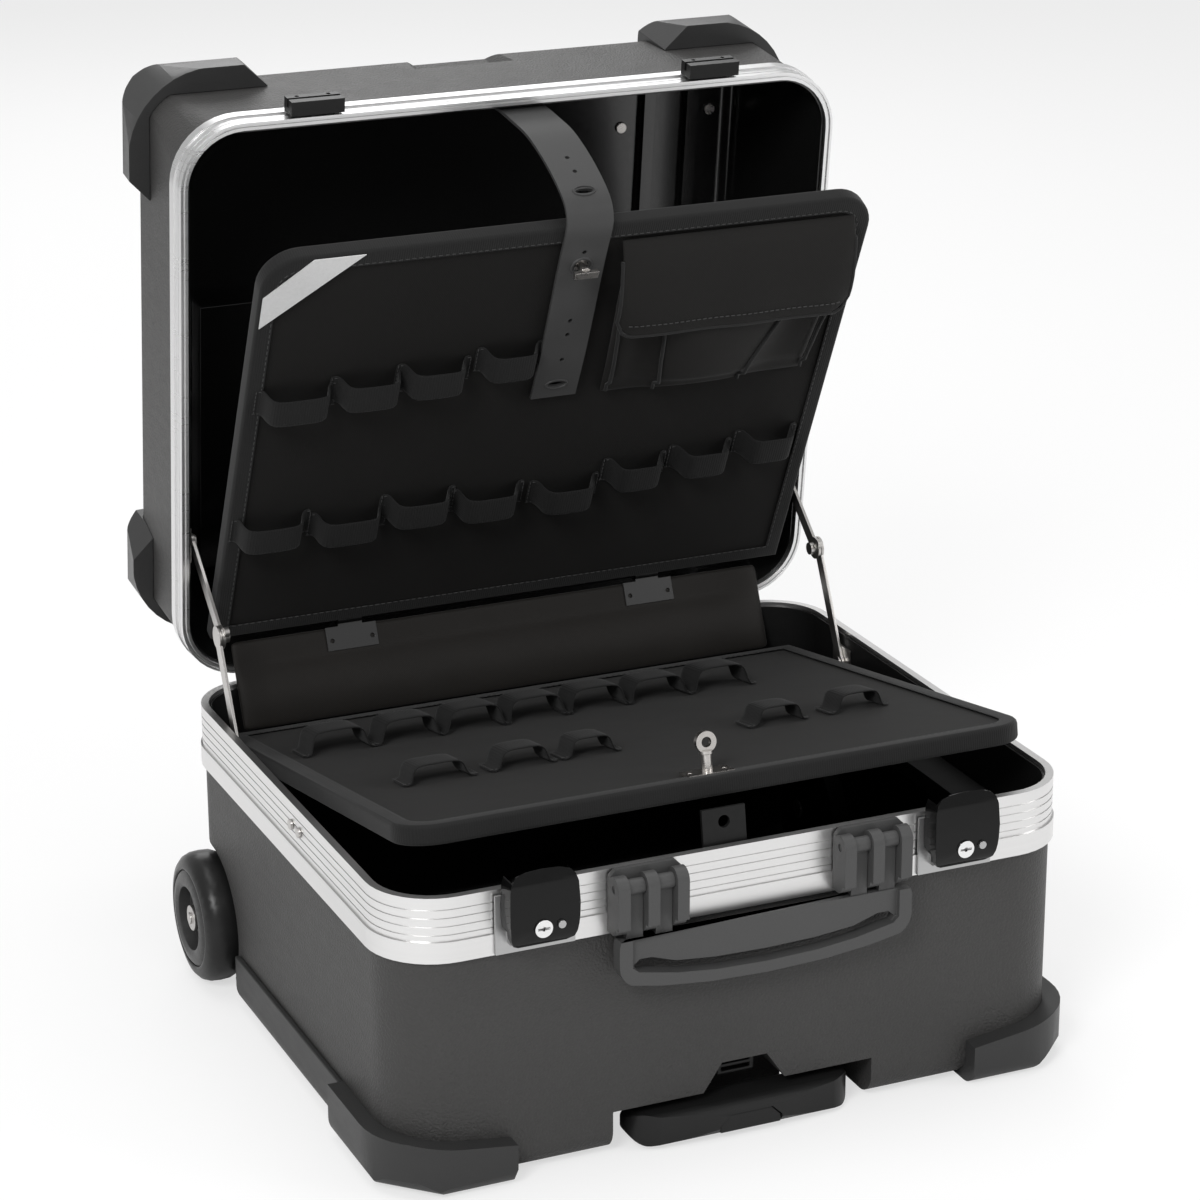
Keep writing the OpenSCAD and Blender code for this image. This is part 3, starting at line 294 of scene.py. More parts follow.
# name, colour and roughness, then what differs from the maker's usual grain, lines or weave
looks = {
    "shell": mouldedPlastic("shellPlastic", grey(0.039, 0.02), 0.50, 620.0, 0.0009, 0.20, 0.32),
    "bumper": mouldedPlastic("bumperPlastic", grey(0.030, 0.0), 0.40, 1100.0, 0.00008),
    "runner": mouldedPlastic("runnerPlastic", grey(0.028, 0.0), 0.44, 1100.0, 0.00008),
    "baseMetal": rolledMetal("baseFrameMetal", grey(0.70, 0.006), 0.33, 0.0, (3, 3, 500), 0.09),
    "lidMetal": rolledMetal("lidFrameMetal", grey(0.72), 0.30, openTurn, (3, 3, 500), 0.08),
    "lidLining": glossPlastic("lidLiningGloss", grey(0.0050), 0.16, 0.002, 0.6),
    "baseLining": mouldedPlastic("baseLiningPlastic", grey(0.006), 0.42, 500.0, 0.0001),
    "divider": mouldedPlastic("dividerPlastic", grey(0.010), 0.60),
    "handle": mouldedPlastic("handlePlastic", grey(0.060), 0.46, 1000.0, 0.0001, 0.08),
    "grip": mouldedPlastic("gripPlastic", grey(0.010), 0.34, 1200.0, 0.00006),
    "lockBlack": glossPlastic("lockGloss", grey(0.003), 0.09, 0.0003),
    "catch": glossPlastic("catchPlastic", grey(0.007), 0.30),
    "plate": rolledMetal("plateMetal", grey(0.42), 0.38),
    "steel": rolledMetal("staySteel", grey(0.50, 0.03), 0.34, 0.0, (500, 40, 40), 0.15),
    "zinc": rolledMetal("hingeZinc", grey(0.06), 0.42),
    "rail": rolledMetal("railMetal", grey(0.55), 0.36, 0.0, (900, 8, 900)),
    "chrome": polishedMetal("keyChrome", grey(0.82), 0.12),
    "nickel": polishedMetal("turnNickel", grey(0.66, 0.04), 0.22),
    "tyre": softRubber("tyreRubber", grey(0.009), 0.34),
    "hub": mouldedPlastic("hubPlastic", grey(0.034), 0.36, 900.0, 0.0001),
    "boardCloth": wovenCloth("boardCloth", grey(0.0060, 0.06), 0.0011),
    "panelCloth": wovenCloth("panelCloth", grey(0.0125, 0.10), 0.0014, 0.5, 0.0001),
    "pouchCloth": wovenCloth("pouchCloth", grey(0.0100, 0.05), 0.0011, 0.72),
    "binding": wovenCloth("bindingTape", grey(0.012), 0.0016, 0.75, 0.0002, 0.1, True),
    "elastic": wovenCloth("loopElastic", grey(0.012), 0.0018, 0.85, 0.0003, 0.06, True),
    "strap": softRubber("strapRubber", grey(0.042), 0.52),
    "blank": wovenCloth("blankLabel", grey(0.55), 0.0009, 0.8),
    "thread": softRubber("sewingThread", grey(0.050), 0.8),
    "piping": wovenCloth("pouchPiping", grey(0.016), 0.0014, 0.7, 0.0001, 0.1, True),
}
print("finishes made")


def measured(bm):
    layer = bm.loops.layers.uv.new("cloth")  # in metres, on the plane nearest to each face
    for face in bm.faces:
        normal = face.normal
        axis = max(range(3), key=lambda i: abs(normal[i]))
        first, second = [(1, 2), (0, 2), (0, 1)][axis]
        for loop in face.loops:
            loop[layer].uv = (loop.vert.co[first], loop.vert.co[second])


def linked(name, bm):
    mesh = bpy.data.meshes.new(name)
    bm.to_mesh(mesh)
    bm.free()
    obj = bpy.data.objects.new(name, mesh)
    bpy.context.scene.collection.objects.link(obj)
    return obj


def addWall(obj, thickness):
    wall = obj.modifiers.new("wall", "SOLIDIFY")
    wall.thickness = thickness
    wall.offset = 0.0
    wall.use_even_offset = True


def addEdge(obj, width, segments, sharp):
    edge = obj.modifiers.new("edge", "BEVEL")
    edge.width = width
    edge.segments = segments
    edge.limit_method = "ANGLE"
    edge.angle_limit = math.radians(sharp)
    edge.use_clamp_overlap = True


# a piece stands for one node of the frame: it takes that node's body, gets its own finish, and hides
# the node
def piece(name, bm, look, node, place=None, edge=0.0, segments=2, sharp=32.0, subdivide=0, wall=0.0):
    measured(bm)
    if place:
        bm.transform(place)
    obj = linked(name, bm)
    for polygon in obj.data.polygons:
        polygon.use_smooth = True
    if wall:
        addWall(obj, wall)
    if edge:
        addEdge(obj, edge, segments, sharp)
    elif not subdivide:
        obj.data.set_sharp_from_angle(angle=math.radians(sharp))
    if subdivide:
        smooth = obj.modifiers.new("smooth", "SUBSURF")
        smooth.levels = smooth.render_levels = subdivide
    else:
        weigh = obj.modifiers.new("flats", "WEIGHTED_NORMAL")
        weigh.keep_sharp = True
    obj.data.materials.append(looks[look])
    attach(obj, frame["nodes"][node]["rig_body"])
    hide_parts(node)
    return obj


# a copy of a solid is merged, and its facets that lie nearly flat become one face
merging = {"distance": 0.00001, "angle": 1.2}
# finish, width of the rounded edges in metres, and their segments
dressing = {
    "base_shell": ("shell", 0.0012, 3), "base_frame": ("baseMetal", 0.0003, 2),
    "base_liner": ("baseLining", 0.001, 2), "base_dividers": ("divider", 0.0006, 2),
    "base_bumpers": ("bumper", 0.0034, 4), "side_runners": ("runner", 0.001, 3),
    "wheel_axles": ("steel", 0.0004, 2), "trolley_rails": ("rail", 0.0004, 2),
    "trolley_latch": ("grip", 0.0008, 3), "handle_mounts": ("handle", 0.001, 3),
    "pivot_pins": ("zinc", 0.0004, 2), "lock_plates": ("plate", 0.0005, 2),
    "hinge_base": ("zinc", 0.0003, 2), "hinge_pins": ("zinc", 0.0002, 2),
    "stay_feet": ("steel", 0.0003, 2), "board_rail": ("divider", 0.0005, 2),
    "front_strap": ("catch", 0.0006, 2), "lid_shell": ("shell", 0.0012, 3),
    "lid_frame": ("lidMetal", 0.0003, 2), "lid_liner": ("lidLining", 0.0015, 3),
    "lid_bumpers": ("bumper", 0.0030, 4), "lid_catches": ("catch", 0.0008, 2),
    "hinge_lid": ("zinc", 0.0003, 2), "document_pocket": ("lidLining", 0.0008, 2),
    "lid_studs": ("nickel", 0.0004, 2), "stay_heads": ("steel", 0.0003, 2),
    "stay_lower_left": ("steel", 0.0003, 2), "stay_lower_right": ("steel", 0.0003, 2),
    "stay_upper_left": ("steel", 0.0003, 2), "stay_upper_right": ("steel", 0.0003, 2),
    "lock_lever_left": ("lockBlack", 0.0022, 4), "lock_lever_right": ("lockBlack", 0.0022, 4),
    "key_barrel_left": ("chrome", 0.0005, 2), "key_barrel_right": ("chrome", 0.0005, 2),
    "lock_button_left": ("plate", 0.0003, 2), "lock_button_right": ("plate", 0.0003, 2),
    "carry_handle": ("handle", 0.002, 4), "trolley_mid": ("rail", 0.0004, 2),
    "trolley_grip": ("grip", 0.0030, 4), "trolley_button": ("grip", 0.0012, 3),
    "tyre_left": ("tyre", 0.0008, 2), "tyre_right": ("tyre", 0.0008, 2),
    "hub_left": ("hub", 0.0006, 2), "hub_right": ("hub", 0.0006, 2),
    "lower_turn_plate": ("nickel", 0.0003, 2), "lower_turn_knob": ("nickel", 0.0006, 3),
    "spine_hinges": ("zinc", 0.0003, 2),
    "upper_turn_plate": ("nickel", 0.0003, 2), "upper_turn_knob": ("nickel", 0.0006, 3),
}


def addDressed(node, look, edge, segments):
    bm = bmesh.new()
    bm.from_mesh(frame["nodes"][node].data)
    bmesh.ops.remove_doubles(bm, verts=bm.verts, dist=merging["distance"])
    bmesh.ops.dissolve_limit(bm, angle_limit=math.radians(merging["angle"]),
                             verts=bm.verts, edges=bm.edges)
    first, *rest = node.split("_")
    piece(first + "".join(word.capitalize() for word in rest), bm, look, node,
          edge=edge, segments=segments)


for nodeName, (look, edge, segments) in dressing.items():
    addDressed(nodeName, look, edge, segments)
print("solids dressed")

# boards: a padded plate in its own plane, bound with folded tape that is sewn through
boards = {
    "lower": {"node": "lower_board", "place": lowerPlace,
              "near": -caseSize["boardPlay"], "far": -caseSize["lowerEnd"]},
    "upper": {"node": "upper_board", "place": upperPlace,
              "near": caseSize["boardPlay"], "far": caseSize["upperEnd"]},
}
padding = {"corner": 0.026, "cornerSteps": 9, "inSide": 0.001, "inFace": 0.0012, "edge": 0.002}
tape = {
    "width": 0.0085,
    "swell": 0.0008,
    "rim": 0.0002,
    "fold": 0.0026,
    "foldSteps": 3,
    "wall": 0.0008,
    "flatWidth": 0.031,
    "cornerCut": 0.96,
}
threads = {
    "step": 0.0046,
    "stitch": (0.0027, 0.0006, 0.0005),
    "spread": (1.006, 1.004),
    "rise": 0.0003,
}
undersideShare = 0.84  # drawn in, because a folded board lies on the dividers or the lining


def lift(bm, thick):
    grown = bmesh.ops.extrude_face_region(bm, geom=bm.faces[:])
    lifted = [item for item in grown["geom"] if isinstance(item, bmesh.types.BMVert)]
    bmesh.ops.translate(bm, verts=lifted, vec=(0, 0, thick))
    bmesh.ops.recalc_face_normals(bm, faces=bm.faces)


def plate(near, far, half, thick, radius):
    bm = bmesh.new()
    corners = [bm.verts.new((x, y, -thick / 2)) for x, y in
               ((-half, near), (half, near), (half, far), (-half, far))]
    bm.faces.new(corners)
    bmesh.ops.bevel(bm, geom=corners[2:], affect="VERTICES", offset=radius,
                    segments=padding["cornerSteps"], profile=0.5, material=-1)
    lift(bm, thick)
    return bm


def drawUnderside(bm):
    for vert in bm.verts:
        if vert.co.z < 0:
            vert.co.z *= undersideShare


def stitchRow(bm, points, step, size, closed=True):
    ring = points + points[:1] if closed else points
    up = Vector((0, 0, 1))
    scale = Matrix.Diagonal((*size, 1.0))
    travelled = 0.0
    for first, second in zip(ring, ring[1:]):
        run = (second - first).length
        direction = (second - first).normalized()
        turn = Matrix((direction, up.cross(direction), up)).transposed().to_4x4()
        while travelled < run:
            spot = Matrix.Translation(first + direction * travelled)
            bmesh.ops.create_cube(bm, size=1.0, matrix=spot @ turn @ scale)
            travelled += step
        travelled -= run


def addPadding(name, setup):
    bm = plate(setup["near"], setup["far"], caseSize["boardHalf"] - padding["inSide"],
               caseSize["boardThick"] - padding["inFace"], padding["corner"])
    drawUnderside(bm)
    obj = piece(name + "Board", bm, "boardCloth", setup["node"], setup["place"], edge=padding["edge"])


# gives back the tape's inner edge on the board's face, along which it is sewn
def addBinding(name, setup):
    half = caseSize["boardHalf"]
    rim = tape["rim"]
    grow = math.copysign(rim, setup["far"])
    bm = plate(setup["near"] - grow, setup["far"] + grow, half + rim,
               caseSize["boardThick"] + 2 * tape["swell"], padding["corner"] + rim)
    level = [edge for edge in bm.edges if abs(edge.verts[0].co.z - edge.verts[1].co.z) < 1e-6]
    bmesh.ops.bevel(bm, geom=level, affect="EDGES", offset=tape["fold"],
                    segments=tape["foldSteps"], profile=0.5, material=-1)
    flats = [face for face in bm.faces if abs(face.normal.z) > 0.99 and face.calc_area() > 0.01]
    bmesh.ops.inset_region(bm, faces=flats, thickness=tape["width"], use_even_offset=True)
    inner = [vert.co.copy() for vert in flats[0].verts]
    bmesh.ops.delete(bm, geom=flats, context="FACES")
    drawUnderside(bm)
    obj = piece(name + "Binding", bm, "binding", setup["node"], setup["place"],
                wall=tape["wall"], sharp=50.0)
    around = 2 * (half + abs(setup["far"])) * 2 * tape["cornerCut"]
    name + "Board"
    return inner


def addBoardStitches(name, setup, inner):
    bm = bmesh.new()
    wide, long = threads["spread"]
    height = faceHeight + tape["swell"] + threads["rise"]
    for side in (1, -1):
        row = [Vector((co.x * wide, co.y * long, side * height)) for co in inner]
        stitchRow(bm, row, threads["step"], threads["stitch"])
    drawUnderside(bm)
    piece(name + "BoardStitches", bm, "thread", setup["node"], setup["place"])


for name, setup in boards.items():
    addPadding(name, setup)
    addBoardStitches(name, setup, addBinding(name, setup))
print("boards covered and bound")

# cloth-covered panel between the boards, crowned towards the front below its hinges
panel = {
    "half": 0.2035,
    "low": 0.0062,
    "high": 0.0685,
    "crown": 0.0050,
    "crownTop": 0.050,
    "wall": 0.0030,
    "crease": 0.0009,
    "cells": (44, 14),
    "slack": 1.03,
}


# a sheet starts as a grid of cells, and spot gives each of its points a place
def woven(bm, across, along, spot):
    grid = bmesh.ops.create_grid(bm, x_segments=across, y_segments=along, size=0.5)
    for vert in grid["verts"]:
        vert.co = spot(round((vert.co.x + 0.5) * across), round((vert.co.y + 0.5) * along))
    bm.normal_update()


def panelPoint(column, row):
    across = column / panel["cells"][0] * 2 - 1
    up = row / panel["cells"][1]
    z = panel["low"] + (panel["high"] - panel["low"]) * up
    share = (z - panel["low"]) / (panel["crownTop"] - panel["low"])
    share = min(1.0, max(0.0, share))
    crown = panel["crown"] * math.sin(math.pi * share) ** 0.8 if share < 1 else 0.0
    crown *= 1 - abs(across) ** 14  # dies out at both ends
    fold = noise.noise(Vector((across * 7, up * 2.2, 5.0))) * panel["crease"] * (1 - share)
    return Vector((across * panel["half"], -crown - fold, z))


def addPanel():
    bm = bmesh.new()
    woven(bm, *panel["cells"], panelPoint)
    obj = piece("panelCover", bm, "panelCloth", "spine", panelPlace, subdivide=1, wall=panel["wall"])


addPanel()

# elastic loops: x, distance from the hinge, width, length and rise of each
loops = {
    "lower": [(x, -0.100, 0.040, 0.030, 0.017) for x in
              (-0.172, -0.122, -0.074, -0.028, 0.018, 0.064, 0.112)]
    + [(x, -0.232, width, 0.026, 0.013) for x, width in
       ((-0.150, 0.038), (-0.092, 0.034), (-0.044, 0.030), (0.092, 0.032), (0.152, 0.032))],
    "upper": [(-0.184, 0.222, 0.044, 0.022, 0.017), (-0.134, 0.226, 0.040, 0.022, 0.017),
              (-0.088, 0.230, 0.040, 0.022, 0.017), (-0.034, 0.236, 0.036, 0.022, 0.016),
              (-0.188, 0.108, 0.044, 0.022, 0.017), (-0.132, 0.104, 0.044, 0.022, 0.017),
              (-0.082, 0.112, 0.042, 0.022, 0.017), (-0.030, 0.108, 0.042, 0.022, 0.017),
              (0.028, 0.106, 0.040, 0.022, 0.017), (0.080, 0.118, 0.036, 0.022, 0.017),
              (0.130, 0.122, 0.036, 0.022, 0.017), (0.180, 0.128, 0.036, 0.022, 0.017)],
}
elastic = {
    "tab": 0.007,
    "wall": 0.0013,
    "cells": 4,
    "lean": 0.0012,
    "sag": 0.93,
    "flatWidth": 0.024,
    "seed": 7,
    "tackRise": 0.0016,
    "tackHalf": 0.002,
    "tackReach": 0.42,
    "tackStep": 0.0034,
    "tackStitch": (0.0021, 0.0005, 0.0004),
}


# half of a loop's outline, from its sewn tab up to its crown: x and height
def loopSide(half, tab, rise, crown):
    return [(-half - tab, 0.0004), (-half - 0.001, 0.0006), (-half + 0.0006, rise * 0.35),
            (-half + 0.0022, rise * 0.82), (-half * 0.62, crown)]


def addLoop(bm, x, y, width, length, rise):
    lean = random.uniform(-elastic["lean"], elastic["lean"])
    crown = rise * random.uniform(elastic["sag"], 1.0)
    left = loopSide(width / 2, elastic["tab"], rise, crown)
    outline = left + [(lean, crown * 0.985)] + [(-px, pz) for px, pz in reversed(left)]
    cells = elastic["cells"]

    def loopPoint(column, row):
        px, pz = outline[column]
        drift = lean if pz > 0.002 else 0  # the tabs are sewn down and don't drift
        return Vector((x + px + drift, y + length * (row / cells - 0.5), faceHeight + pz))

    woven(bm, len(outline) - 1, cells, loopPoint)


def addTacks(bm, x, y, width, length):
    wide, reach = elastic["tackHalf"], length * elastic["tackReach"]
    for side in (-1, 1):
        spot = x + side * (width / 2 + elastic["tab"] * 0.55)
        corners = [Vector((spot + across * wide, y + along * reach, faceHeight + elastic["tackRise"]))
                   for across, along in ((-1, -1), (1, -1), (1, 1), (-1, 1))]
        stitchRow(bm, corners, elastic["tackStep"], elastic["tackStitch"])


def addLoops(name, setup):
    bm = bmesh.new()
    tacks = bmesh.new()
    random.seed(elastic["seed"])
    for x, y, width, length, rise in loops[name]:
        addLoop(bm, x, y, width, length, rise)
        addTacks(tacks, x, y, width, length)
    node = name + "_loops"
    obj = piece(name + "Loops", bm, "elastic", node, setup["place"], subdivide=1, wall=elastic["wall"])
    name + "Board"
    piece(name + "LoopStitches", tacks, "thread", node, setup["place"])


for name, setup in boards.items():
    addLoops(name, setup)
print("loops sewn on")

# bellows pouch: x and depth of its folds at the mouth and at the foot
pouch = {
    "mouth": [(0.038, 0.0008), (0.036, 0.0105), (0.056, 0.0055), (0.066, 0.0130), (0.092, 0.0145),
              (0.120, 0.0150), (0.148, 0.0145), (0.172, 0.0130), (0.182, 0.0050), (0.201, 0.0095),
              (0.199, 0.0008)],
    "foot": [(0.040, 0.0008), (0.042, 0.0085), (0.062, 0.0035), (0.076, 0.0150), (0.092, 0.0180),
             (0.108, 0.0190), (0.124, 0.0180), (0.140, 0.0150), (0.162, 0.0035), (0.190, 0.0090),
             (0.193, 0.0008)],
    "top": 0.300,
    "bottom": 0.197,
    "rows": 16,
    "belly": 0.0045,
    "tuckFrom": 0.93,
    "tuck": 0.55,
    "hem": 0.004,
    "hemDepth": 0.0008,
    "leastDepth": 0.0006,
    "crumple": 0.0016,
    "wall": 0.0013,
    "flatWidth": 0.125,
    "pipedFolds": (1, 3, 7, 9),
    "piping": 0.0013,
    "pipingRise": 0.0006,
}


def addPiping(name, points, node):
    curve = bpy.data.curves.new(name, "CURVE")
    curve.dimensions = "3D"
    curve.bevel_depth = pouch["piping"]
    curve.bevel_resolution = 3
    curve.use_fill_caps = True
    line = curve.splines.new("POLY")
    line.points.add(len(points) - 1)
    for point, co in zip(line.points, points):
        point.co = (*co, 1.0)
    rope = bpy.data.objects.new(name, curve)
    bm = bmesh.new()
    bm.from_mesh(rope.to_mesh())
    rope.to_mesh_clear()
    bpy.data.objects.remove(rope)
    bmesh.ops.remove_doubles(bm, verts=bm.verts, dist=merging["distance"])
    piece(name, bm, "piping", node, upperPlace, sharp=60.0)


# share runs from the mouth, at 0, to the foot, at 1
def pouchPoint(column, share):
    top, foot = pouch["mouth"][column], pouch["foot"][column]
    last = len(pouch["mouth"]) - 1
    ease = share * share * (3 - 2 * share)
    x = top[0] + (foot[0] - top[0]) * ease
    height = pouch["top"] + (pouch["bottom"] - pouch["top"]) * share
    depth = top[1] + (foot[1] - top[1]) * share
    middle = 1 - abs(column * 2 / last - 1)
    depth += middle * pouch["belly"] * math.sin(math.pi * min(1.0, share * 1.15))
    if share > pouch["tuckFrom"]:
        depth *= pouch["tuck"]
    push = noise.noise(Vector((x * 34, height * 26, 3.0))) * pouch["crumple"] * min(1.0, depth * 120)
    drift = noise.noise(Vector((x * 20, height * 40, 9.0))) * pouch["crumple"]
    if 0 < column < last:
        x += drift * 0.6
    return Vector((x, height, faceHeight + max(pouch["leastDepth"], depth + push)))


def pouchSpot(column, row):
    if row <= pouch["rows"]:
        return pouchPoint(column, row / pouch["rows"])
    spot = pouchPoint(column, 1.0)  # the last row closes the foot down onto the board
    return Vector((spot.x, spot.y - pouch["hem"], faceHeight + pouch["hemDepth"]))


def addPouch():
    bm = bmesh.new()
    woven(bm, len(pouch["mouth"]) - 1, pouch["rows"] + 1, pouchSpot)
    obj = piece("pouchBody", bm, "pouchCloth", "pouch", upperPlace, subdivide=2, wall=pouch["wall"])
    rise = Vector((0, 0, pouch["pipingRise"]))
    for column in pouch["pipedFolds"]:
        points = [pouchPoint(column, step / 20) + rise for step in range(21)]
        addPiping(f"pouchPiping{column}", points, "pouch")


addPouch()

# flap: distance up the board and depth, from its fold to its hem
flap = {
    "run": [(0.3265, 0.0016), (0.3250, 0.0040), (0.3185, 0.0095), (0.3070, 0.0150), (0.2940, 0.0190),
            (0.2810, 0.0215), (0.2690, 0.0225), (0.2590, 0.0222)],
    "left": 0.031,
    "right": 0.204,
    "cells": (22, 18),
    "corner": 0.012,
    "cornerDrop": 0.0022,
    "swell": 0.0012,
    "wave": 0.0013,
    "wall": 0.0016,
    "flatWidth": 0.09,
    "seam": 0.86,
    "seamRise": 0.0013,
    "seamStep": 0.0042,
    "stitch": (0.0026, 0.0006, 0.0005),
}


# share runs from the fold to the hem, and place from the left edge to the right one
def flapPoint(share, place):
    run = flap["run"]
    spot = share * (len(run) - 1)
    low = min(int(spot), len(run) - 2)
    part = spot - low
    height = run[low][0] + (run[low + 1][0] - run[low][0]) * part
    depth = run[low][1] + (run[low + 1][1] - run[low][1]) * part
    x = flap["left"] + (flap["right"] - flap["left"]) * place
    near = min(x - flap["left"], flap["right"] - x)
    if near < flap["corner"]:
        over = (flap["corner"] - near) / flap["corner"]
        rise = flap["corner"] * (1 - math.sqrt(max(0.0, 1 - over * over)))
        height += rise * max(0.0, (share - 0.45) / 0.55)
        depth -= flap["cornerDrop"] * over * over * min(1.0, share * 2)
    swell = math.sin(math.pi * place) * flap["swell"] * math.sin(math.pi * share)
    wave = noise.noise(Vector((x * 24, height * 18, 1.0))) * flap["wave"] * share
    return Vector((x, height, faceHeight + depth + swell + wave))


def flapSpot(column, row):
    return flapPoint(row / flap["cells"][1], column / flap["cells"][0])


def addFlap():
    bm = bmesh.new()
    woven(bm, *flap["cells"], flapSpot)
    obj = piece("pouchFlap", bm, "pouchCloth", "pouch_flap", upperPlace, subdivide=1, wall=flap["wall"])
    edge = [flapPoint(step / 24, 0.0) for step in range(8, 24)]
    edge += [flapPoint(1.0, step / 40) for step in range(41)]
    edge += [flapPoint(step / 24, 1.0) for step in range(23, 7, -1)]
    addPiping("flapPiping", edge, "pouch_flap")
    bm = bmesh.new()
    rise = Vector((0, 0, flap["seamRise"]))
    seam = [flapPoint(flap["seam"], step / 40) + rise for step in range(2, 39)]
    stitchRow(bm, seam, flap["seamStep"], flap["stitch"], closed=False)
    piece("flapStitches", bm, "thread", "pouch_flap", upperPlace)


addFlap()
print("pouch and flap made")

# rubber strap: distance up the board and depth in front of its face, from its free end
strap = {
    "run": [(0.196, 0.0014), (0.228, 0.0026), (0.262, 0.0026), (0.296, 0.0019), (0.324, 0.0019),
            (0.336, 0.0026), (0.347, 0.0014), (0.355, -0.006), (0.359, -0.020), (0.361, -0.046),
            (0.359, -0.076), (0.352, -0.102)],
    "lidEnd": [(0.3959, 0.006), (0.3946, 0.024)],  # distance from the lid's hinge, and height
    "middle": 0.004,
    "width": 0.033,
    "thick": 0.0022,
    "cell": 0.006,
    "holes": [0.034, 0.056, 0.068, 0.126, 0.190, 0.204],
    "holeRadius": 0.0016,
    "lockHole": 0.114,
    "lockRadius": 0.0052,
    "slots": [0.012, 0.172],
    "slotRadius": 0.002,
    "slotStretch": 3.2,
    "drill": 0.02,
    "lockRim": (0.008, 0.008),
    "slotRim": (0.0086, 0.0042),
    "rimSteps": [(0.93, 0.0009), (0.84, 0.0009), (0.78, 0.0)],  # share of its size, and height
    "squashAlong": (0, 0.64, 0.77),
    "squashFrom": (0, 0.075, 0.500),
    "squashKeep": 0.12,
}


def smoothRun(points, steps=8):
    out = []
    for index in range(len(points) - 1):
        a, b = points[max(0, index - 1)], points[index]
        c, d = points[index + 1], points[min(len(points) - 1, index + 2)]
        for step in range(steps):
            t = step / steps
            out.append((2 * b + (c - a) * t + (2 * a - 5 * b + 4 * c - d) * t * t
                        + (3 * b - a - 3 * c + d) * t ** 3) * 0.5)
    return out + [points[-1]]


# the strap's middle line in the upper board's plane, and the length up to each of its points
def strapLine():
    middle = strap["thick"] / 2
    run = [Vector((0, up, faceHeight + depth + middle)) for up, depth in strap["run"]]
    intoBoard = upperPlace.inverted() @ lidTurn
    for back, rise in strap["lidEnd"]:
        spot = intoBoard @ Vector((0, -back, rise))
        run.append(Vector((0, spot.y, spot.z)))
    path = smoothRun(run)
    lengths = [0.0]
    for first, second in zip(path, path[1:]):
        lengths.append(lengths[-1] + (second - first).length)
    return path, lengths


def flatStrap(total):
    bm = bmesh.new()
    size = Matrix.Diagonal((strap["width"], total, strap["thick"], 1))
    bmesh.ops.create_cube(bm, size=1.0, matrix=Matrix.Translation((0, total / 2, 0)) @ size)
    for step in range(1, int(total / strap["cell"])):
        bmesh.ops.bisect_plane(bm, geom=bm.verts[:] + bm.edges[:] + bm.faces[:],
                               plane_co=(0, step * strap["cell"], 0), plane_no=(0, 1, 0))
    return bm


def addHole(bm, spot, radius, segments, stretch=1.0):
    place = Matrix.Translation((0, spot, 0)) @ Matrix.Diagonal((stretch, 1.0, 1.0, 1.0))
    bmesh.ops.create_cone(bm, cap_ends=True, segments=segments, radius1=radius, radius2=radius,
                          depth=strap["drill"], matrix=place)


def strapHoles():
    bm = bmesh.new()
    for spot in strap["holes"]:
        addHole(bm, spot, strap["holeRadius"], 20)
    addHole(bm, strap["lockHole"], strap["lockRadius"], 24)
    for spot in strap["slots"]:
        addHole(bm, spot, strap["slotRadius"], 24, strap["slotStretch"])
    return bm


def punched(bm, holes):
    flat, tool = linked("strapFlat", bm), linked("strapHoles", holes)
    cut = flat.modifiers.new("holes", "BOOLEAN")
    cut.operation = "DIFFERENCE"
    cut.object = tool
    cut.solver = "EXACT"
    bpy.context.view_layer.update()
    shown = flat.evaluated_get(bpy.context.evaluated_depsgraph_get())
    made = bmesh.new()
    made.from_mesh(bpy.data.meshes.new_from_object(shown))
    for spare in (flat, tool):
        bpy.data.objects.remove(spare)
    return made


def addRim(bm, spot, wide, high):
    front = strap["thick"] / 2
    place = Matrix.Translation((0, spot, front)) @ Matrix.Diagonal((wide, high, 1, 1))
    ring = set(bmesh.ops.create_circle(bm, segments=28, radius=1.0, matrix=place)["verts"])
    edges = [edge for edge in bm.edges if ring.issuperset(edge.verts)]
    for scale, rise in strap["rimSteps"]:
        made = bmesh.ops.extrude_edge_only(bm, edges=edges)["geom"]
        fresh = {item for item in made if isinstance(item, bmesh.types.BMVert)}
        edges = [item for item in made if isinstance(item, bmesh.types.BMEdge)
                 and item.verts[0] in fresh and item.verts[1] in fresh]
        for vert in fresh:
            angle = math.atan2((vert.co.y - spot) / high, vert.co.x / wide)
            vert.co = (wide * scale * math.cos(angle), spot + high * scale * math.sin(angle),
                       front + rise)


def wrap(bm, path, lengths):
    for vert in bm.verts:
        along = min(max(vert.co.y, 0.0), lengths[-1] - 1e-6)
        index = max(0, min(len(path) - 2, bisect_right(lengths, along) - 1))
        part = (along - lengths[index]) / (lengths[index + 1] - lengths[index])
        spot = path[index].lerp(path[index + 1], part)
        forward = (path[min(index + 2, len(path) - 1)] - path[max(index - 1, 0)]).normalized()
        outward = Vector((1, 0, 0)).cross(forward)
        vert.co = Vector((strap["middle"] + vert.co.x, 0, 0)) + spot + outward * vert.co.z
    bmesh.ops.recalc_face_normals(bm, faces=bm.faces)


def addStrap():
    path, lengths = strapLine()
    band = punched(flatStrap(lengths[-1]), strapHoles())
    rims = bmesh.new()
    for spot in strap["slots"]:
        addRim(rims, spot, *strap["slotRim"])
    addRim(rims, strap["lockHole"], *strap["lockRim"])
    for name, bm in (("lidStrap", band), ("lidStrapRims", rims)):
        wrap(bm, path, lengths)
        obj = piece(name, bm, "strap", "lid_strap", upperPlace, sharp=40.0)
        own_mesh(obj)


addStrap()

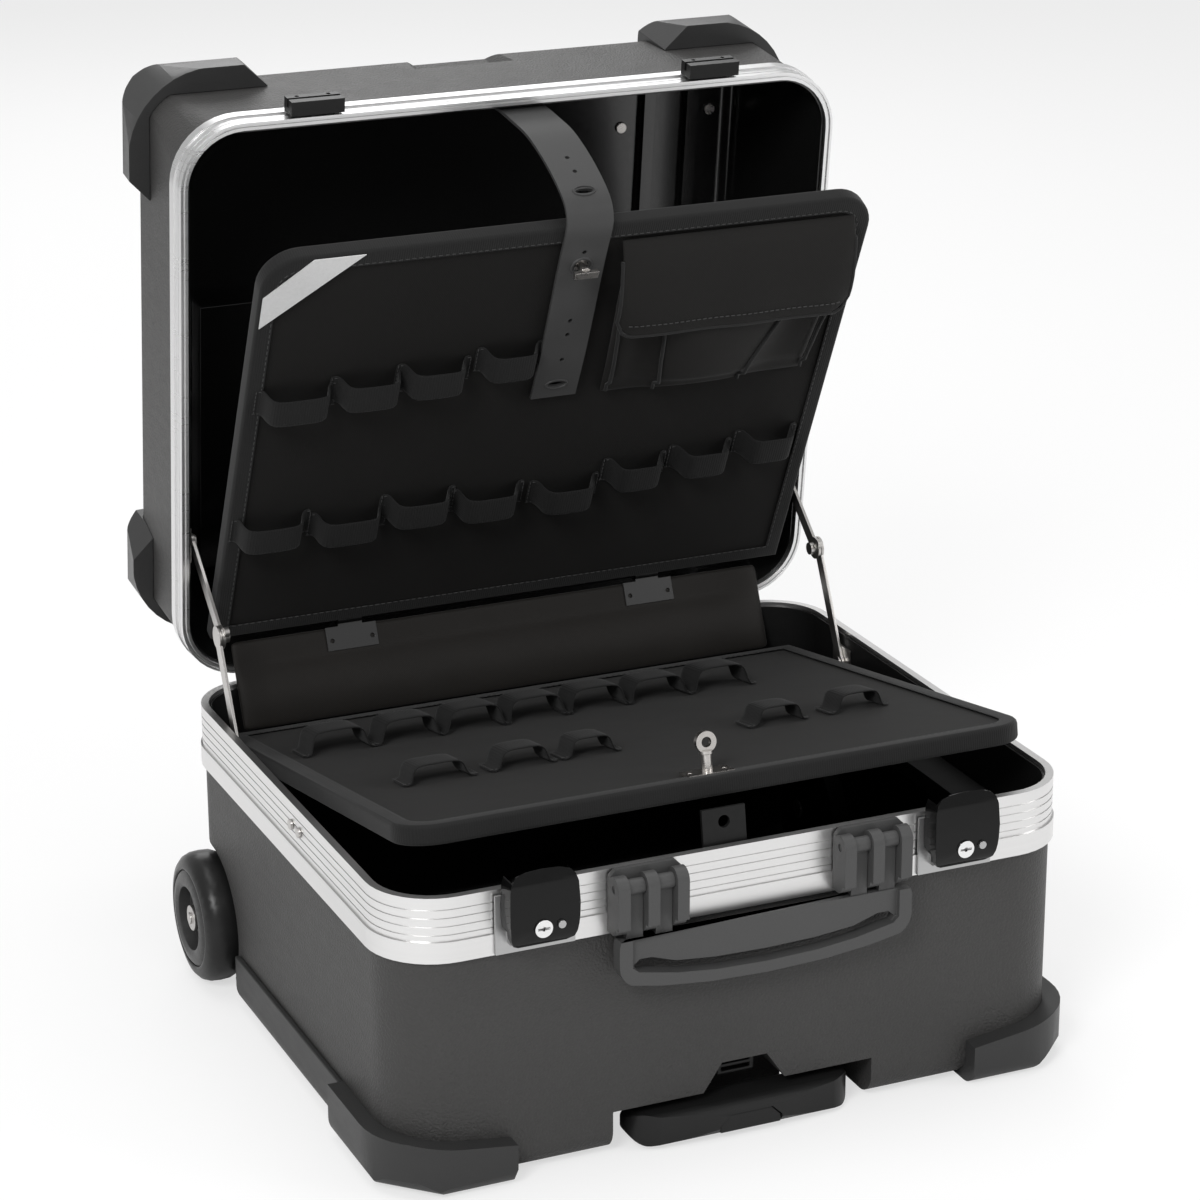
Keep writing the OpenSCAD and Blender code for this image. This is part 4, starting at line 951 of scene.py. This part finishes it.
# bare strip sewn across the upper board's corner
nameStrip = {
    "corners": [(-0.2165, 0.286), (-0.2165, 0.311), (-0.185, 0.3385), (-0.150, 0.3385)],
    "thick": 0.0007,
    "rise": 0.0012,
    "hem": 0.0022,
}


def addStrip():
    bm = bmesh.new()
    height = faceHeight + nameStrip["rise"]
    face = bm.faces.new([bm.verts.new((x, y, height)) for x, y in nameStrip["corners"]])
    bmesh.ops.inset_region(bm, faces=[face], thickness=nameStrip["hem"])
    lift(bm, nameStrip["thick"])
    piece("nameStrip", bm, "blank", "upper_board", upperPlace)


addStrip()
print("strap laid over the upper board")

# pale floor and soft light
studio = {
    "floorSize": 14.0,
    "floorWhite": 0.92,
    "cameraWhite": 0.62,
    "worldLevel": 0.50,
    "glossyWhite": 0.15,
    "target": (0, 0.05, 0.25),
    "lamps": [
        # name, place, size, strength
        ("keyLamp", (-1.9, -2.0, 2.4), 1.2, 58.0),
        ("fillLamp", (2.4, -1.8, 1.6), 1.6, 20.0),
        ("topLamp", (0.0, 0.4, 3.2), 2.4, 34.0),
        ("backLamp", (0.6, 2.8, 1.8), 1.8, 16.0),
    ],
}


def addFloor(setup):
    bm = bmesh.new()
    bmesh.ops.create_grid(bm, x_segments=1, y_segments=1, size=setup["floorSize"] / 2)
    floor = linked("floor", bm)
    f = Finish("floorPaper")
    seen = f.node("LightPath").other("Is Camera Ray")
    plain = f.node("BsdfDiffuse", values={"Color": grey(setup["floorWhite"])})
    white = f.node("Emission", values={"Color": grey(1.0), "Strength": 1.0})
    mixed = f.node("MixShader", values={0: seen * setup["cameraWhite"], 1: plain, 2: white})
    f.node("OutputMaterial", values={"Surface": mixed})
    floor.data.materials.append(f.material)


def addWorld(setup):
    world = bpy.data.worlds.new("studio")
    bpy.context.scene.world = world
    world.use_nodes = True
    w = Nodes(world.node_tree)
    path = w.node("LightPath")
    show = path.other("Is Camera Ray") + path.other("Is Glossy Ray") * setup["glossyWhite"]
    level = w.node("Background", values={"Color": grey(1.0), "Strength": setup["worldLevel"]})
    white = w.node("Background", values={"Color": grey(1.0), "Strength": 1.0})
    mixed = w.node("MixShader", values={0: show, 1: level, 2: white})
    w.node("OutputWorld", values={"Surface": mixed})


def addLamp(name, place, size, strength, target):
    data = bpy.data.lights.new(name, "AREA")
    data.shape = "DISK"
    data.size = size
    data.energy = strength
    lamp = bpy.data.objects.new(name, data)
    lamp.location = place
    lamp.rotation_euler = (Vector(target) - Vector(place)).to_track_quat("-Z", "Y").to_euler()
    bpy.context.scene.collection.objects.link(lamp)


addFloor(studio)
addWorld(studio)
for lamp in studio["lamps"]:
    addLamp(*lamp, studio["target"])
print("studio set")
